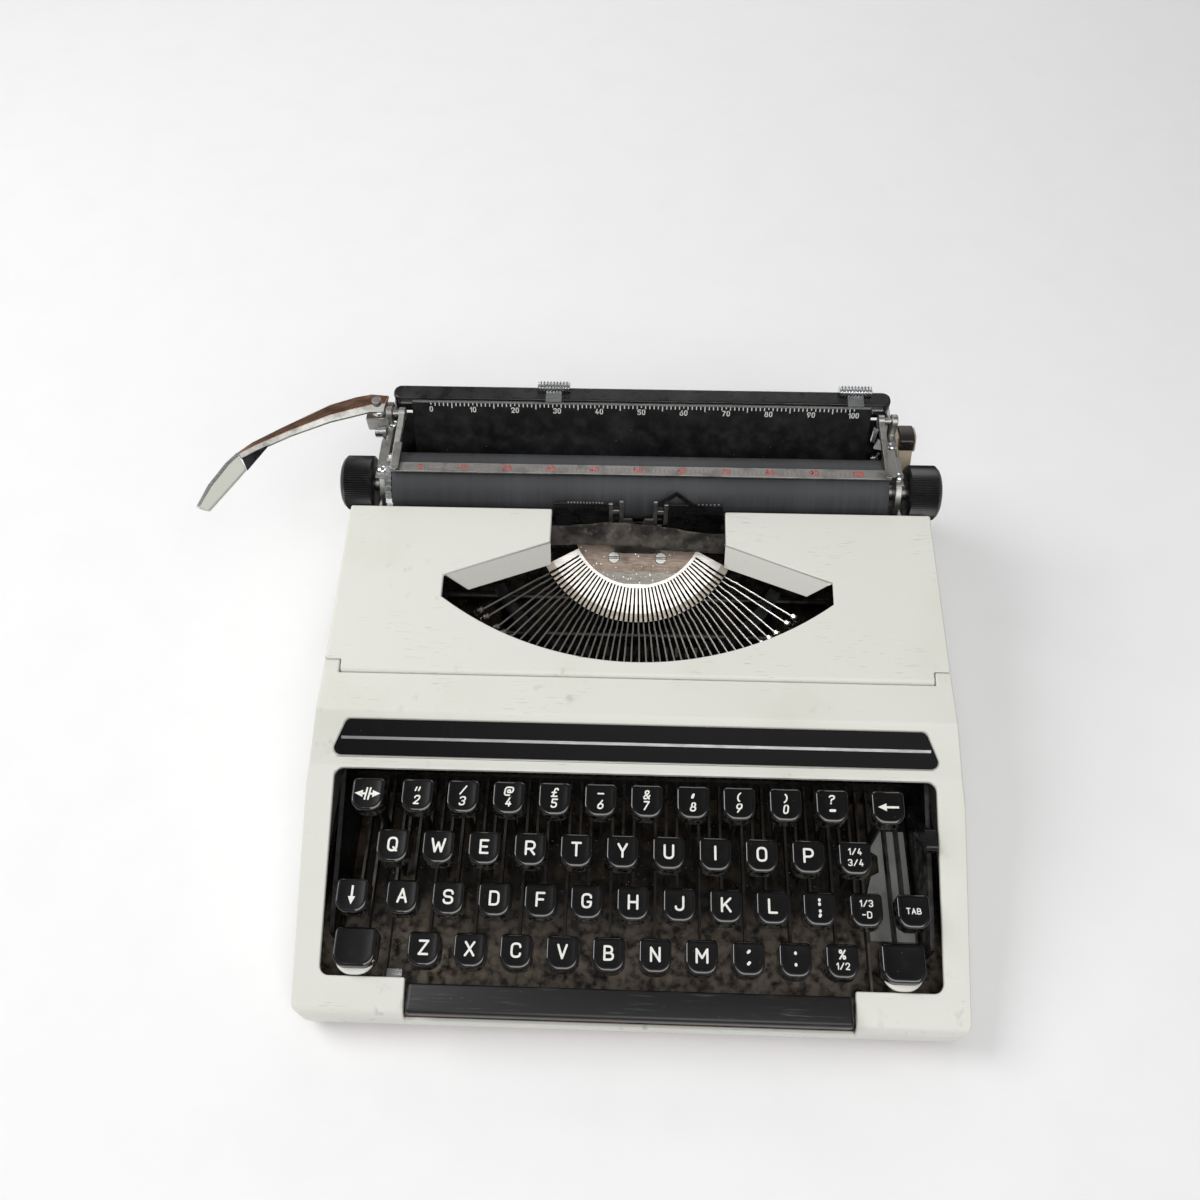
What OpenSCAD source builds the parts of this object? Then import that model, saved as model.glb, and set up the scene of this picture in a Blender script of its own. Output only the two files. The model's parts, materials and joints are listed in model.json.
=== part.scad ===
// Portable typewriter: flat casing, hinged ribbon cover, sliding carriage, four-row keyboard.
// Millimetres. The origin is on the table under the middle of the casing.
// +X points to the typist's right, +Y to the back and +Z up.

/* [Casing] */
// Width of the casing at its lower edge
base_w = 290; // [264:1:318]
// Width of the casing at the height of the fascia
waist_w = 294; // [268:1:322]
// Width of the casing at the back of the ribbon cover
top_w = 281; // [278:1:286]
// From the origin to the front of the casing
front_d = 146; // [133:0.5:160]
// From the origin to the back of the casing
rear_d = 143; // [130:0.5:156]
// Thickness of the casing's wall
wall = 2.2; // [1.6:0.1:2.6]
// Height of the casing's front edge above the table
front_z = 20.5; // [18:0.5:22]
// Height of the fascia's lower edge
fascia_z = 57; // [55:0.5:59]
// From the casing's front to the fascia's lower edge
fascia_in = 101; // [99:0.5:103]
// How far back the slanted fascia runs
fascia_run = 20.5; // [12:0.5:22]
// Height of the flat panel behind the fascia
panel_z = 71.5; // [70:0.5:73]
// Where the panel ends and the ribbon cover starts
cover_front_y = -5; // [-7:0.5:-3]
// Gap between the ribbon cover's rear edge and the platen
cover_in = 2; // [1.5:0.5:8]
// Height of the ribbon cover's rear edge
cover_rear_z = 84; // [82:0.5:86]
// Depth of the skirt along the sides of the ribbon cover
cover_skirt = 7; // [5:0.5:9]
// Gap between the ribbon cover and the casing
cover_gap = 0.6; // [0.5:0.1:0.8]
// Height of the casing's rim behind the ribbon cover
rim_z = 42; // [36:0.5:43]
// Radius of the casing's upright corners
corner_r = 8; // [4:0.5:12]
// How far the keyboard well's edge stands in from the casing's side
well_in = 10.5; // [8:0.5:11]
// From the casing's front to the keyboard well
well_front_in = 16; // [15:0.5:17]
// Radius of the well's corners
well_r = 4; // [2:0.5:6]
// Height of the lip in front of the space bar
lip_z = 14.5; // [14:0.5:15]
// Height of the black strip on the fascia
strip_h = 16.3; // [10:0.1:17]
// Thickness of the black strip
strip_t = 1.2; // [1:0.1:1.5]

/* [Base] */
// Height of the rubber feet
foot_h = 5; // [4:0.5:6]
// Radius of the rubber feet
foot_r = 9; // [7:0.5:11]
// Thickness of the base pan's floor
pan_t = 2; // [1.5:0.1:2.2]
// Height of the base pan's walls above its floor
pan_wall_h = 6; // [4:0.5:6.5]
// Thickness of the base pan's walls
pan_wall_t = 1.5; // [1:0.1:2]
// How far the steel side plates stand in from the casing's side
side_in = 14; // [12:0.5:16]
// Thickness of the steel side plates
side_t = 2; // [1.5:0.1:2.4]
// Radius of the tie rods
tie_r = 2.5; // [2:0.1:3]

/* [Keyboard] */
// Room beside the letter keys, left and right together
key_room = 22; // [16:0.5:24]
// Distance between key rows, front to back
row_dy = 19.3; // [18.8:0.1:19.6]
// Rise from one key row to the next
row_dz = 10.2; // [10:0.1:10.6]
// From the casing's front to the middle of the front row of keys
row_in = 26.5; // [26:0.5:28]
// Height of the front row's key tops
row_z = 34; // [33.5:0.5:36]
// Width of a key top
key_w = 13.6; // [12:0.1:14.5]
// Depth of a key top, front to back
key_d = 14.2; // [12:0.1:14.5]
// Height of a key top
key_h = 8; // [6:0.1:8.2]
// Width of a shift key top
shift_w = 18.5; // [16:0.5:19]
// Thickness of a key lever
lever_t = 1.2; // [0.8:0.1:1.5]
// Height of a key lever's bar
lever_h = 5; // [4:0.1:5.4]
// How far the fulcrum rod of the keys lies in front of the type segment's centre
fulcrum_in = 67.5; // [66:0.5:72]
// Height of the fulcrum rod
fulcrum_z = 21; // [20.5:0.1:21.5]
// Radius of the fulcrum rod
fulcrum_r = 2; // [1.5:0.1:2.5]
// Length of the space bar
space_w = 190; // [180:1:192]
// Depth of the space bar, front to back
space_d = 12.5; // [10:0.5:12.5]
// Height of the space bar's top
space_z = 28; // [27:0.5:29]
// Thickness of the space bar
space_t = 6.5; // [5:0.1:6.5]

/* [Type basket] */
// Number of typebars
bar_count = 42; // [30:2:44]
// Angle between neighbouring typebars
bar_step = 2.78; // [2.6:0.01:2.8]
// Thickness of a typebar
bar_t = 0.8; // [0.6:0.05:0.9]
// Tilt of the type segment
seg_tilt = 30; // [28:0.5:32]
// Inner radius of the type segment
seg_in_r = 33; // [31:0.5:35]
// Outer radius of the type segment
seg_out_r = 53; // [50:0.5:55]
// Radius of the arc that the typebars turn on
bar_pivot_r = 45; // [43:0.5:46]
// Height of the printing point above the segment's plane
strike_h = 28; // [27:0.5:29]
// Angle of the resting typebars above the segment's plane
bar_rest = 33; // [32:0.5:35]

/* [Ribbon] */
// Width of the ink ribbon
ribbon_w = 12.7; // [10:0.1:13]
// Thickness of the ink ribbon
ribbon_t = 0.3; // [0.2:0.05:0.4]
// How far the spools' axes stand in from the side plates
spool_in = 18; // [16:0.5:19]
// How far the spools lie in front of the ribbon cover's rear edge
spool_back = 35; // [33:0.5:36]
// Height of the spools' lower flanges
spool_z = 56; // [55:0.5:56.5]
// Radius of the spools' flanges
spool_r = 18; // [16:0.5:18.5]
// Radius of the ribbon wound on a spool
pack_r = 13; // [9:0.5:14]

/* [Carriage] */
// Radius of the platen
platen_r = 15.5; // [14.5:0.1:15.7]
// Gap between the platen's rubber and an end plate
platen_gap = 4; // [4:0.5:8]
// How far the platen's axis lies in front of the casing's back
platen_in = 45.5; // [43:0.5:48]
// Height of the platen's axis
platen_z = 79; // [78.5:0.1:79.5]
// Radius of the platen's core
core_r = 12; // [9:0.5:13]
// Radius of the platen's shaft
shaft_r = 4; // [3:0.1:4.5]
// Radius of the platen knobs
knob_r = 13.5; // [11:0.5:14]
// Length of a platen knob
knob_len = 16; // [12:0.5:18]
// How far the carriage's end plates stand in from the side plates
end_in = 6.5; // [5:0.5:8]
// Thickness of the carriage's end plates
end_t = 3; // [2:0.1:3.2]
// Gap between the paper table and an end plate
table_gap = 9.5; // [8:0.5:14]
// Thickness of the paper table
table_t = 1.5; // [1:0.1:2]
// Radius of the feed rollers
feed_r = 5; // [4:0.1:5.2]
// Width of the paper bail's scale strip
bail_w = 5.5; // [4:0.5:8]
// How far the back bar reaches over an end plate
back_out = 1.5; // [0.5:0.5:2.5]
// Width of a margin stop
stop_w = 16; // [12:0.5:18]

/* [Clearances] */
// Radial clearance of pins and shafts in their bores
run_fit = 0.05; // [0.03:0.01:0.08]
// Clearance between pieces that slide past each other
slide_gap = 0.3; // [0.25:0.01:0.4]

/* [Hidden] */
$fn = 64;

// Base levels
pan_z = foot_h;
floor_z = pan_z + pan_t;
foot_in = 30;

// Depth chain of the keyboard, from the casing's front
fascia_y = -front_d + fascia_in;
well_front_y = -front_d + well_front_in;
row_y = -front_d + row_in;

// Room between the casing's sides, and the depth chain of the carriage from the casing's back
room_half = min(base_w, waist_w) / 2;
plan_half = max(base_w, waist_w, top_w) / 2;
function casing_half(z) = (base_w + (waist_w - base_w) * z / (fascia_z - 4)) / 2;
pan_half = min(casing_half(pan_z), casing_half(floor_z + pan_wall_h));
side_x = room_half - side_in;
well_half = room_half - well_in;
key_pitch = (2 * side_x - key_room) / 12;
end_x = side_x - end_in;
bed_half = end_x + end_t + 0.5;
platen_half = end_x - platen_gap;
table_half = end_x - table_gap;
back_half = end_x + back_out;
platen_y = rear_d - platen_in;
cover_rear_y = platen_y - platen_r - cover_in;

// Ribbon cover
cover_slope = (cover_rear_z - panel_z) / (cover_rear_y - cover_front_y);
cover_t = 2;
nose_r = 3;
nose_in = 2.2;
hinge_y = cover_front_y + nose_r;
hinge_z = panel_z - nose_r;
hinge_r = 1.5;
cheek_r = nose_r + 1;
cheek_in_x = top_w / 2 - 4.5;
spool_x = side_x - spool_in;
spool_y = cover_rear_y - spool_back;
flange_h = 10;
flange_t = 1.6;
flange_lean = 0.6;
flange_trim = 0.9;
cut_half = 42;
cut_y = cover_rear_y - 18;
wing_x = spool_x - spool_r - 3;
wing_rear_y = cover_rear_y - 36;
wing_front_y = cover_rear_y - 47;
arc_y = cover_front_y + 7.5;
arc_sag = wing_front_y - arc_y;
arc_r = (wing_x * wing_x + arc_sag * arc_sag) / (2 * arc_sag);

// Keyboard
lever_step = key_pitch / 4;
first_x = -5.2 * key_pitch;
row_first = [2, 0, 1, 3];
row_count = [10, 11, 11, 10];
lever_z0 = fulcrum_z - lever_h / 2;
lever_z1 = fulcrum_z + lever_h / 2;
boss_r = fulcrum_r + 3;
stem_d = 5;
tail = 10;
split_row = 3;
split_key = 5;
margin_key_x = -side_x + 15.3;
margin_lever_x = -side_x + 17.5;
back_key_x = side_x - 21;
lock_key_x = -side_x + 10;
lock_lever_x = -side_x + 8.5;
tab_key_x = side_x - 10;
tab_lever_x = side_x - 8.5;
shift_key_x = side_x - 13;
shift_lever_x = side_x - 14;
shift_d = 16.5;
space_left_x = first_x - 0.15 * key_pitch;
space_right_x = first_x + 10.45 * key_pitch;
space_y = row_y - row_dy;
comb_y = fascia_y + 7;
comb_t = 1.5;
comb_top_z = 30;
comb_slot_w = lever_t + 0.6;

// Type basket: the printing point lies on the platen's front
print_y = platen_y - platen_r - 0.5;
seg_y = print_y + strike_h * sin(seg_tilt);
seg_z = platen_z - strike_h * cos(seg_tilt);
fulcrum_y = seg_y - fulcrum_in;
shift_tube_y = fulcrum_y + 18;
seg_top = 2;
seg_low = -4;
seg_floor = -2.5;
bar_len = norm([bar_pivot_r, strike_h]);
bar_h = 3.6;
bar_boss_r = 2;
fan = bar_step * (bar_count / 2 + 1.5);
split_bar = bar_count / 2;
plate_chord = 13;
guide_y = platen_y - platen_r - 3;
guide_t = 1.2;
guide_half = 8.5;
guide_top_z = platen_z - 2;
card_y = guide_y + guide_t;
card_t = 1;
card_half = 41;
card_low_z = platen_z - 17;
card_mid_z = platen_z - 9;
card_top_z = platen_z + 9;
pointer_x = 18;
pointer_h = 10;
vib_t = 0.7;
vib_y = guide_y - slide_gap - vib_t;
rest_r0 = bar_pivot_r + 30;
rest_r1 = rest_r0 + 6;
rest_top = 30 * tan(bar_rest) - bar_h / 2 / cos(bar_rest) - slide_gap;
rest_low = rest_top - 4;

// Ribbon and spools
flange_z = 1;
spool_gap = ribbon_w + 0.9;
cup_r = spool_r + 1;
spindle_r = 3;
ribbon_mid_y = vib_y - 4;
ribbon_mid_z = platen_z - 8;
ribbon_turn_x = 46;
ribbon_turn_y = ribbon_mid_y - 1.2;
ribbon_spool_z = spool_z + flange_z + spool_gap / 2;

// Side plates and rails
plate_top_z = 50;
plate_front_y = -front_d + 34;
plate_rear_y = rear_d - wall - pan_wall_t - 2;
rail_z = 44;
rail_top_z = 50;
rail_y = [platen_y + 2.5, platen_y + 30.5];
rail_d = 6;
bed_y0 = rail_y[0] - slide_gap - 2.7;
bed_y1 = rail_y[1] + rail_d + slide_gap + 2.7;
bed_z0 = rail_top_z + slide_gap;
bed_z1 = 54;
bed_lip_z = 46;

// Escapement: a rack under the bed turns the wheel
wheel_x = 20;
rack_teeth = 20;
rack_r = 8;
rack_pitch = 2 * PI * rack_r / rack_teeth;
rack_tooth = 1.5;
rack_first = ceil((-bed_half - wheel_x) / rack_pitch);
rack_last = floor((bed_half - wheel_x) / rack_pitch) - 1;
rack_y = platen_y + 14.5;
rack_d = 5;
rack_root_z = bed_z0 - 1;
wheel_z = rack_root_z - 0.9 - rack_r;
axle_r = 2;

// Platen group
core_half = platen_half + 0.3;
ratchet_x0 = end_x - slide_gap - 3;
ratchet_r = platen_r - 0.5;
knob_in_x = end_x + end_t + 3.5;
knob_out_x = knob_in_x + knob_len;
shaft_half = knob_out_x - 3;
feed_axis_r = platen_r + feed_r + slide_gap;
feed_y = platen_y - feed_axis_r * sin(30);
feed_z = platen_z - feed_axis_r * cos(30);
feed_shaft_r = 2;
end_top_z = platen_z + 10.5;
bar_z0 = platen_z + 7;
bar_z1 = platen_z + 17;
bar_y0 = platen_y + 41.5;
bar_y1 = bar_y0 + 9;
mrail_y = bar_y0 - 2;
mrail_z0 = platen_z + 12;
mrail_z1 = mrail_z0 + 3;
stop_x = [-0.4 * table_half + 2, end_x - 16.5];
table_top = [platen_y + 36.3, platen_z + 20.9];
table_low = [platen_y + 19.5, platen_z - 13];
bail_y = platen_y + 31.5;
bail_z = platen_z + 16.5;
bail_pin_r = 1.5;
bail_x0 = end_x - 6.5;
bail_x1 = end_x - 3.5;
bail_low_z = platen_z + platen_r + 0.7;
lever_pin = [-end_x - end_t - 6.5, bar_y0 - 2];
lever_pin_r = 2.5;
lever_hub_r = 6;
lug_z0 = platen_z + 1;
lug_z1 = platen_z + 9.5;
release_y = platen_y + 16.5;
release_z = platen_z - 7;
select_y = platen_y + 20.5;
select_z = platen_z + 1;
picker_y = fascia_y - 5;
picker_z = 25;
drum_x = -side_x + 41;
drum_y = platen_y + 17.5;
drum_r = 18;
drum_z = 17;
drum_h = 19;
drum_pin_r = 3;
bell_x = side_x - 41;
bell_y = platen_y + 14.5;
bell_r = 14;

// Colours as in the photograph
cream = "#E3E3DB";
black = "#1B1B1D";
steel = "#A9ABAB";
chrome = "#D5D7D8";
rubber = "#2A2A2B";
ink = "#3A3A3E";
well_grey = "#55534F";
beige = "#B9AC93";

// Plane geometry
function unit(v) = v / norm(v);
function left_of(v) = [-v.y, v.x];

// One corner rounded to radius r, as points of an arc
function corner_arc(before, p, after, r) =
    let (
        a = unit(before - p),
        b = unit(after - p),
        turn = acos(max(-1, min(1, a * b))),
        start = p + a * r / tan(turn / 2),
        end = p + b * r / tan(turn / 2),
        mid = p + unit(a + b) * r / sin(turn / 2),
        a0 = atan2(start.y - mid.y, start.x - mid.x),
        a1 = atan2(end.y - mid.y, end.x - mid.x),
        sweep = (a1 - a0 + 540) % 360 - 180,
        steps = max(2, ceil(abs(sweep) / 15))
    )
    [for (i = [0:steps]) mid + r * [cos(a0 + sweep * i / steps), sin(a0 + sweep * i / steps)]];

// A closed outline with a radius at each corner; 0 keeps the corner sharp
function rounded(pts, radii) =
    let (n = len(pts))
    [
        for (i = [0:n - 1])
            each radii[i] == 0
                ? [pts[i]]
                : corner_arc(pts[(i + n - 1) % n], pts[i], pts[(i + 1) % n], radii[i])
    ];

// A counter-clockwise outline moved inwards by d
function inset(pts, d) =
    let (n = len(pts))
    [
        for (i = [0:n - 1])
            let (
                n1 = left_of(unit(pts[i] - pts[(i + n - 1) % n])),
                n2 = left_of(unit(pts[(i + 1) % n] - pts[i]))
            )
            pts[i] + (n1 + n2) * d / (1 + n1 * n2)
    ];

function box_points(x0, y0, x1, y1) = [[x0, y0], [x1, y0], [x1, y1], [x0, y1]];

// Solids from outlines: (y, z) drawn along X, and (x, z) drawn along Y
module along_x(x0, x1) {
    translate([x0, 0, 0]) rotate([90, 0, 90]) linear_extrude(x1 - x0) children();
}

module along_y(y0, y1) {
    translate([0, y1, 0]) rotate([90, 0, 0]) linear_extrude(y1 - y0) children();
}

module box(x0, x1, y0, y1, z0, z1) {
    translate([x0, y0, z0]) cube([x1 - x0, y1 - y0, z1 - z0]);
}

module rod_x(r, x0, x1, y, z) {
    translate([x0, y, z]) rotate([0, 90, 0]) cylinder(r = r, h = x1 - x0);
}

module rod_z(r, x, y, z0, z1) {
    translate([x, y, z0]) cylinder(r = r, h = z1 - z0);
}

module both_sides() {
    children();
    mirror([1, 0, 0]) children();
}

// Casing
function side_outline() = [
    [-front_d, floor_z],
    [rear_d, floor_z],
    [rear_d, rim_z],
    [cover_rear_y, rim_z],
    [cover_rear_y, cover_rear_z],
    [cover_front_y, panel_z],
    [fascia_y + fascia_run, panel_z],
    [fascia_y, fascia_z],
    [-front_d, front_z]
];
side_radii = [0, 0, 3, 3, 0, 0, 2.5, 2, 5];

function front_outline(d) =
    let (
        low = base_w / 2 - d,
        mid = waist_w / 2 - d,
        high = top_w / 2 - d,
        peak = cover_rear_z + 20
    )
    [
        [-low, 0], [low, 0], [mid, fascia_z - 4], [high, cover_rear_z], [high, peak],
        [-high, peak], [-high, cover_rear_z], [-mid, fascia_z - 4]
    ];

module casing_block(d) {
    outline = side_outline();
    low = [for (i = [0:len(outline) - 1]) i < 2 ? outline[i] - [0, d * 2] : outline[i]];
    radii = [for (r = side_radii) r == 0 ? 0 : max(0.5, r - d)];
    intersection() {
        along_x(-waist_w, waist_w) polygon(rounded(inset(low, d), radii));
        along_y(-front_d - 1, rear_d + 1) polygon(front_outline(d));
        linear_extrude(cover_rear_z + 20)
            polygon(rounded(
                box_points(-plan_half + d, -front_d + d, plan_half - d, rear_d - d),
                [for (i = [0:3]) corner_r - d]
            ));
    }
}

// The plane of the ribbon cover, lowered by drop, as a wedge that reaches up and out
module above_cover(drop) {
    y0 = cover_front_y - cover_gap;
    y1 = rear_d + 5;
    z0 = panel_z + cover_slope * (y0 - cover_front_y) - drop;
    z1 = panel_z + cover_slope * (y1 - cover_front_y) - drop;
    along_x(-waist_w, waist_w)
        polygon([[y0, z0], [y1, z1], [y1, cover_rear_z + 40], [y0, cover_rear_z + 40]]);
}

// A cheek ends in a round face about the hinge, so the cover's skirt can turn past it
module cheek_block(grow) {
    along_x(cheek_in_x - grow, top_w) union() {
        polygon(box_points(
            cover_front_y - cover_gap - 1, hinge_z - 8, hinge_y + grow, panel_z + 10
        ));
        translate([hinge_y, hinge_z]) circle(r = cheek_r + grow);
    }
}

module fascia_frame() {
    rise = panel_z - fascia_z;
    translate([0, fascia_y, fascia_z]) rotate([atan2(rise, fascia_run), 0, 0]) children();
}

fascia_len = norm([fascia_run, panel_z - fascia_z]);
strip_sink = 1;
strip_in = 10.5;
strip_slant = 7.5;

module strip_outline(grow) {
    y0 = (fascia_len - strip_h) / 2 - grow;
    y1 = (fascia_len + strip_h) / 2 + grow;
    low = waist_w / 2 - strip_in + grow;
    high = low - strip_slant;
    polygon(rounded(
        [[-low, y0], [low, y0], [high, y1], [-high, y1]], [3, 3, 3, 3]
    ));
}

module top_shell() {
    color(cream) difference() {
        union() {
            difference() {
                casing_block(0);
                casing_block(wall);
                above_cover(cover_skirt + cover_gap / 2);
            }
            // Cheeks that hold the cover's hinge pins
            intersection() {
                casing_block(0);
                both_sides() cheek_block(0);
            }
        }
        // Keyboard well
        linear_extrude(cover_rear_z)
            polygon(rounded(
                box_points(-well_half, well_front_y, well_half, fascia_y - 1),
                [well_r, well_r, well_r, well_r]
            ));
        // Gap for the space bar, which leaves a low lip
        box(
            -space_w / 2 - 2, space_w / 2 + 2, -front_d - 1, well_front_y + 1,
            lip_z, cover_rear_z
        );
        // Open bays under the cover and under the carriage
        box(
            -top_w / 2 + wall + 1, top_w / 2 - wall - 1, cover_rear_y - 2 * wall,
            rear_d - wall, foot_h - 1, cover_rear_z
        );
        // Recess for the fascia strip
        fascia_frame() translate([0, 0, -strip_sink]) linear_extrude(10) strip_outline(slide_gap);
        both_sides() rod_x(hinge_r + run_fit, cheek_in_x - 1, cheek_in_x + 3.5, hinge_y, hinge_z);
    }
}

module fascia_strip() {
    color(black) fascia_frame() translate([0, 0, -strip_sink])
        linear_extrude(strip_t) strip_outline(0);
}

// Base
module base_pan() {
    edge = 0.5;
    wall_in = wall + slide_gap + 0.1;
    x = base_w / 2;
    color(beige) {
        difference() {
            union() {
                translate([0, 0, pan_z]) linear_extrude(pan_t)
                    polygon(rounded(
                        box_points(-x + edge, -front_d + edge, x - edge, rear_d - edge),
                        [for (i = [0:3]) corner_r]
                    ));
                translate([0, 0, pan_z]) linear_extrude(pan_t + pan_wall_h)
                    pan_outline(wall_in);
            }
            translate([0, 0, floor_z]) linear_extrude(pan_wall_h + 1)
                pan_outline(wall_in + pan_wall_t);
        }
        rod_z(drum_pin_r, drum_x, drum_y, pan_z + pan_t / 2, drum_z + drum_h + 1);
    }
}

module pan_outline(d) {
    polygon(rounded(
        box_points(-pan_half + d, -front_d + d, pan_half - d, rear_d - d),
        [for (i = [0:3]) max(1, corner_r - d)]
    ));
}

module rubber_feet() {
    color(rubber) both_sides() {
        rod_z(foot_r, base_w / 2 - foot_in, -front_d + foot_in, 0, foot_h);
        rod_z(foot_r, base_w / 2 - foot_in, rear_d - foot_in, 0, foot_h);
    }
}

function plate_outline() = [
    [plate_front_y, floor_z], [plate_rear_y, floor_z], [plate_rear_y, rail_z],
    [rail_y[0] - 12, rail_z], [rail_y[0] - 16, plate_top_z],
    [fascia_y + 5, plate_top_z], [plate_front_y, 26]
];

module side_plates() {
    color(steel) {
        both_sides() difference() {
            along_x(side_x, side_x + side_t) polygon(plate_outline());
            rod_x(fulcrum_r + run_fit, side_x - 1, side_x + side_t + 1, fulcrum_y, fulcrum_z);
            for (p = tie_places)
                rod_x(tie_r + run_fit, side_x - 1, side_x + side_t + 1, p.x, p.y);
        }
        rod_x(2, side_x - 3, side_x + side_t / 2, picker_y, picker_z);
    }
}

tie_places = [[seg_y - 21.5, floor_z + 5], [rail_y[1] + 1, floor_z + 5]];

module pivot_rods() {
    half = side_x + side_t;
    color(steel) {
        rod_x(fulcrum_r, -half, half, fulcrum_y, fulcrum_z);
        for (p = tie_places) rod_x(tie_r, -half, half, p.x, p.y);
    }
}

function lever_places() = concat(
    [for (k = [0:41]) first_x + k * lever_step],
    [margin_lever_x, -shift_lever_x, lock_lever_x, back_key_x, shift_lever_x, tab_lever_x],
    [space_left_x, space_right_x]
);

module key_comb() {
    color(steel) difference() {
        box(-side_x, side_x, comb_y, comb_y + comb_t, floor_z, comb_top_z);
        for (x = lever_places())
            box(
                x - comb_slot_w / 2, x + comb_slot_w / 2, comb_y - 1, comb_y + comb_t + 1,
                floor_z + 1.5, lever_z1 + 1.5
            );
    }
}

// Keys
function key_y(row) = row_y + (4 - row) * row_dy;
function key_z(row) = row_z + (4 - row) * row_dz;
function key_x(row, i) = first_x + row_first[row - 1] * lever_step + i * key_pitch;
function is_split(row, i) = row == split_row && i == split_key;

// A key top: dished top, rounder corners towards the typist
module keytop(x, row, w, d) {
    dish_r = 34;
    dish = 0.9;
    translate([x, key_y(row), key_z(row) - key_h]) difference() {
        intersection() {
            linear_extrude(key_h + 2)
                polygon(rounded(box_points(-w / 2, -d / 2, w / 2, d / 2), [4.5, 4.5, 2, 2]));
            along_x(-w, w)
                polygon([
                    [-d / 2 + 0.8, 0], [d / 2 - 0.8, 0], [d / 2, key_h * 0.5], [d / 2 - 0.6, key_h + 1],
                    [-d / 2 + 0.8, key_h], [-d / 2, key_h * 0.5]
                ]);
        }
        translate([0, 0, key_h + dish_r - dish + 0.5]) sphere(r = dish_r, $fn = 96);
    }
}

// A flat lever from the fulcrum rod to the stem under its key top
module key_lever(x, row, back) {
    y = key_y(row);
    along_x(x - lever_t / 2, x + lever_t / 2) difference() {
        union() {
            polygon(box_points(y - stem_d / 2, lever_z0, fulcrum_y + back, lever_z1));
            polygon(box_points(y - stem_d / 2, lever_z0, y + stem_d / 2, key_z(row) - key_h));
            translate([fulcrum_y, fulcrum_z]) circle(r = boss_r);
        }
        translate([fulcrum_y, fulcrum_z]) circle(r = fulcrum_r + run_fit);
    }
}

module keytops(row) {
    color(black) for (i = [0:row_count[row - 1] - 1])
        if (!is_split(row, i)) keytop(key_x(row, i), row, key_w, key_d);
}

module key_levers(row) {
    color(steel) for (i = [0:row_count[row - 1] - 1])
        if (!is_split(row, i)) key_lever(key_x(row, i), row, tail);
}

module keytops_row_1() { keytops(1); }
module keytops_row_2() { keytops(2); }
module keytops_row_3() { keytops(3); }
module keytops_row_4() { keytops(4); }
module key_levers_row_1() { key_levers(1); }
module key_levers_row_2() { key_levers(2); }
module key_levers_row_3() { key_levers(3); }
module key_levers_row_4() { key_levers(4); }

module single_key(key_at, lever_at, row) {
    color(black) keytop(key_at, row, key_w, key_d);
    color(steel) key_lever(lever_at, row, tail);
}

module key_h() { single_key(key_x(split_row, split_key), key_x(split_row, split_key), split_row); }
module shift_lock_key() { single_key(lock_key_x, lock_lever_x, 3); }
module margin_release_key() { single_key(margin_key_x, margin_lever_x, 1); }
module backspace_key() { single_key(back_key_x, back_key_x, 1); }
module tab_key() { single_key(tab_key_x, tab_lever_x, 3); }

module shift_keytops() {
    color(black) {
        keytop(-shift_key_x - 1, 4, shift_w, shift_d);
        keytop(shift_key_x - 1, 4, shift_w, shift_d);
    }
}

// Both shift levers turn as one, on a tube behind the fulcrum rod
module shift_levers() {
    color(steel) {
        key_lever(-shift_lever_x, 4, shift_tube_y - fulcrum_y);
        key_lever(shift_lever_x, 4, shift_tube_y - fulcrum_y);
        rod_x(
            2.2, -shift_lever_x - lever_t / 2, shift_lever_x + lever_t / 2,
            shift_tube_y, fulcrum_z
        );
    }
}

module space_bar() {
    y0 = space_y - space_d / 2;
    y1 = space_y + space_d / 2;
    z0 = space_z - space_t;
    color(black) along_x(-space_w / 2, space_w / 2)
        polygon(rounded(
            [[y0, z0], [y1, z0], [y1, space_z - 0.5], [y0, space_z - 0.5]], [0.5, 0.5, 1.5, 3]
        ));
}

// Steel bar under the space bar, with an arm back to the fulcrum rod at each end
module space_bar_frame() {
    top = space_z - space_t;
    left = space_left_x;
    right = space_right_x;
    color(steel) {
        box(-space_w / 2 + 2, space_w / 2 - 2, space_y, space_y + 4, top - 4, top);
        box(left - lever_t / 2, right + lever_t / 2, space_y, space_y + 4, top - 4, top - 1.6);
        for (x = [left, right])
            along_x(x - lever_t / 2, x + lever_t / 2) difference() {
                union() {
                    polygon([
                        [space_y, top - 4], [fulcrum_y + tail, lever_z0], [fulcrum_y + tail, lever_z1],
                        [space_y + 30, top + 1.5], [space_y, top - 1.6]
                    ]);
                    translate([fulcrum_y, fulcrum_z]) circle(r = boss_r);
                }
                translate([fulcrum_y, fulcrum_z]) circle(r = fulcrum_r + run_fit);
            }
    }
}

// Type basket
module segment_frame() {
    translate([0, seg_y, seg_z]) rotate([seg_tilt, 0, 0]) children();
}

function bar_angle(i) = (i - (bar_count - 1) / 2) * bar_step;

// Height of the segment's top face above the table at depth y
function segment_z(y) = seg_z + (seg_top + (y - seg_y) * sin(seg_tilt)) / cos(seg_tilt);

// A sector of a flat ring, open towards the platen
module ring_sector(r0, r1, z0, z1, half) {
    far = 2 * r1;
    translate([0, 0, z0]) intersection() {
        difference() {
            cylinder(r = r1, h = z1 - z0, $fn = 128);
            translate([0, 0, -1]) cylinder(r = r0, h = z1 - z0 + 2, $fn = 128);
        }
        translate([0, 0, -1]) linear_extrude(z1 - z0 + 2)
            polygon([
                [0, 0], far * [-sin(half), -cos(half)], [-far, -1.5 * far], [far, -1.5 * far],
                far * [sin(half), -cos(half)]
            ]);
    }
}

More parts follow.
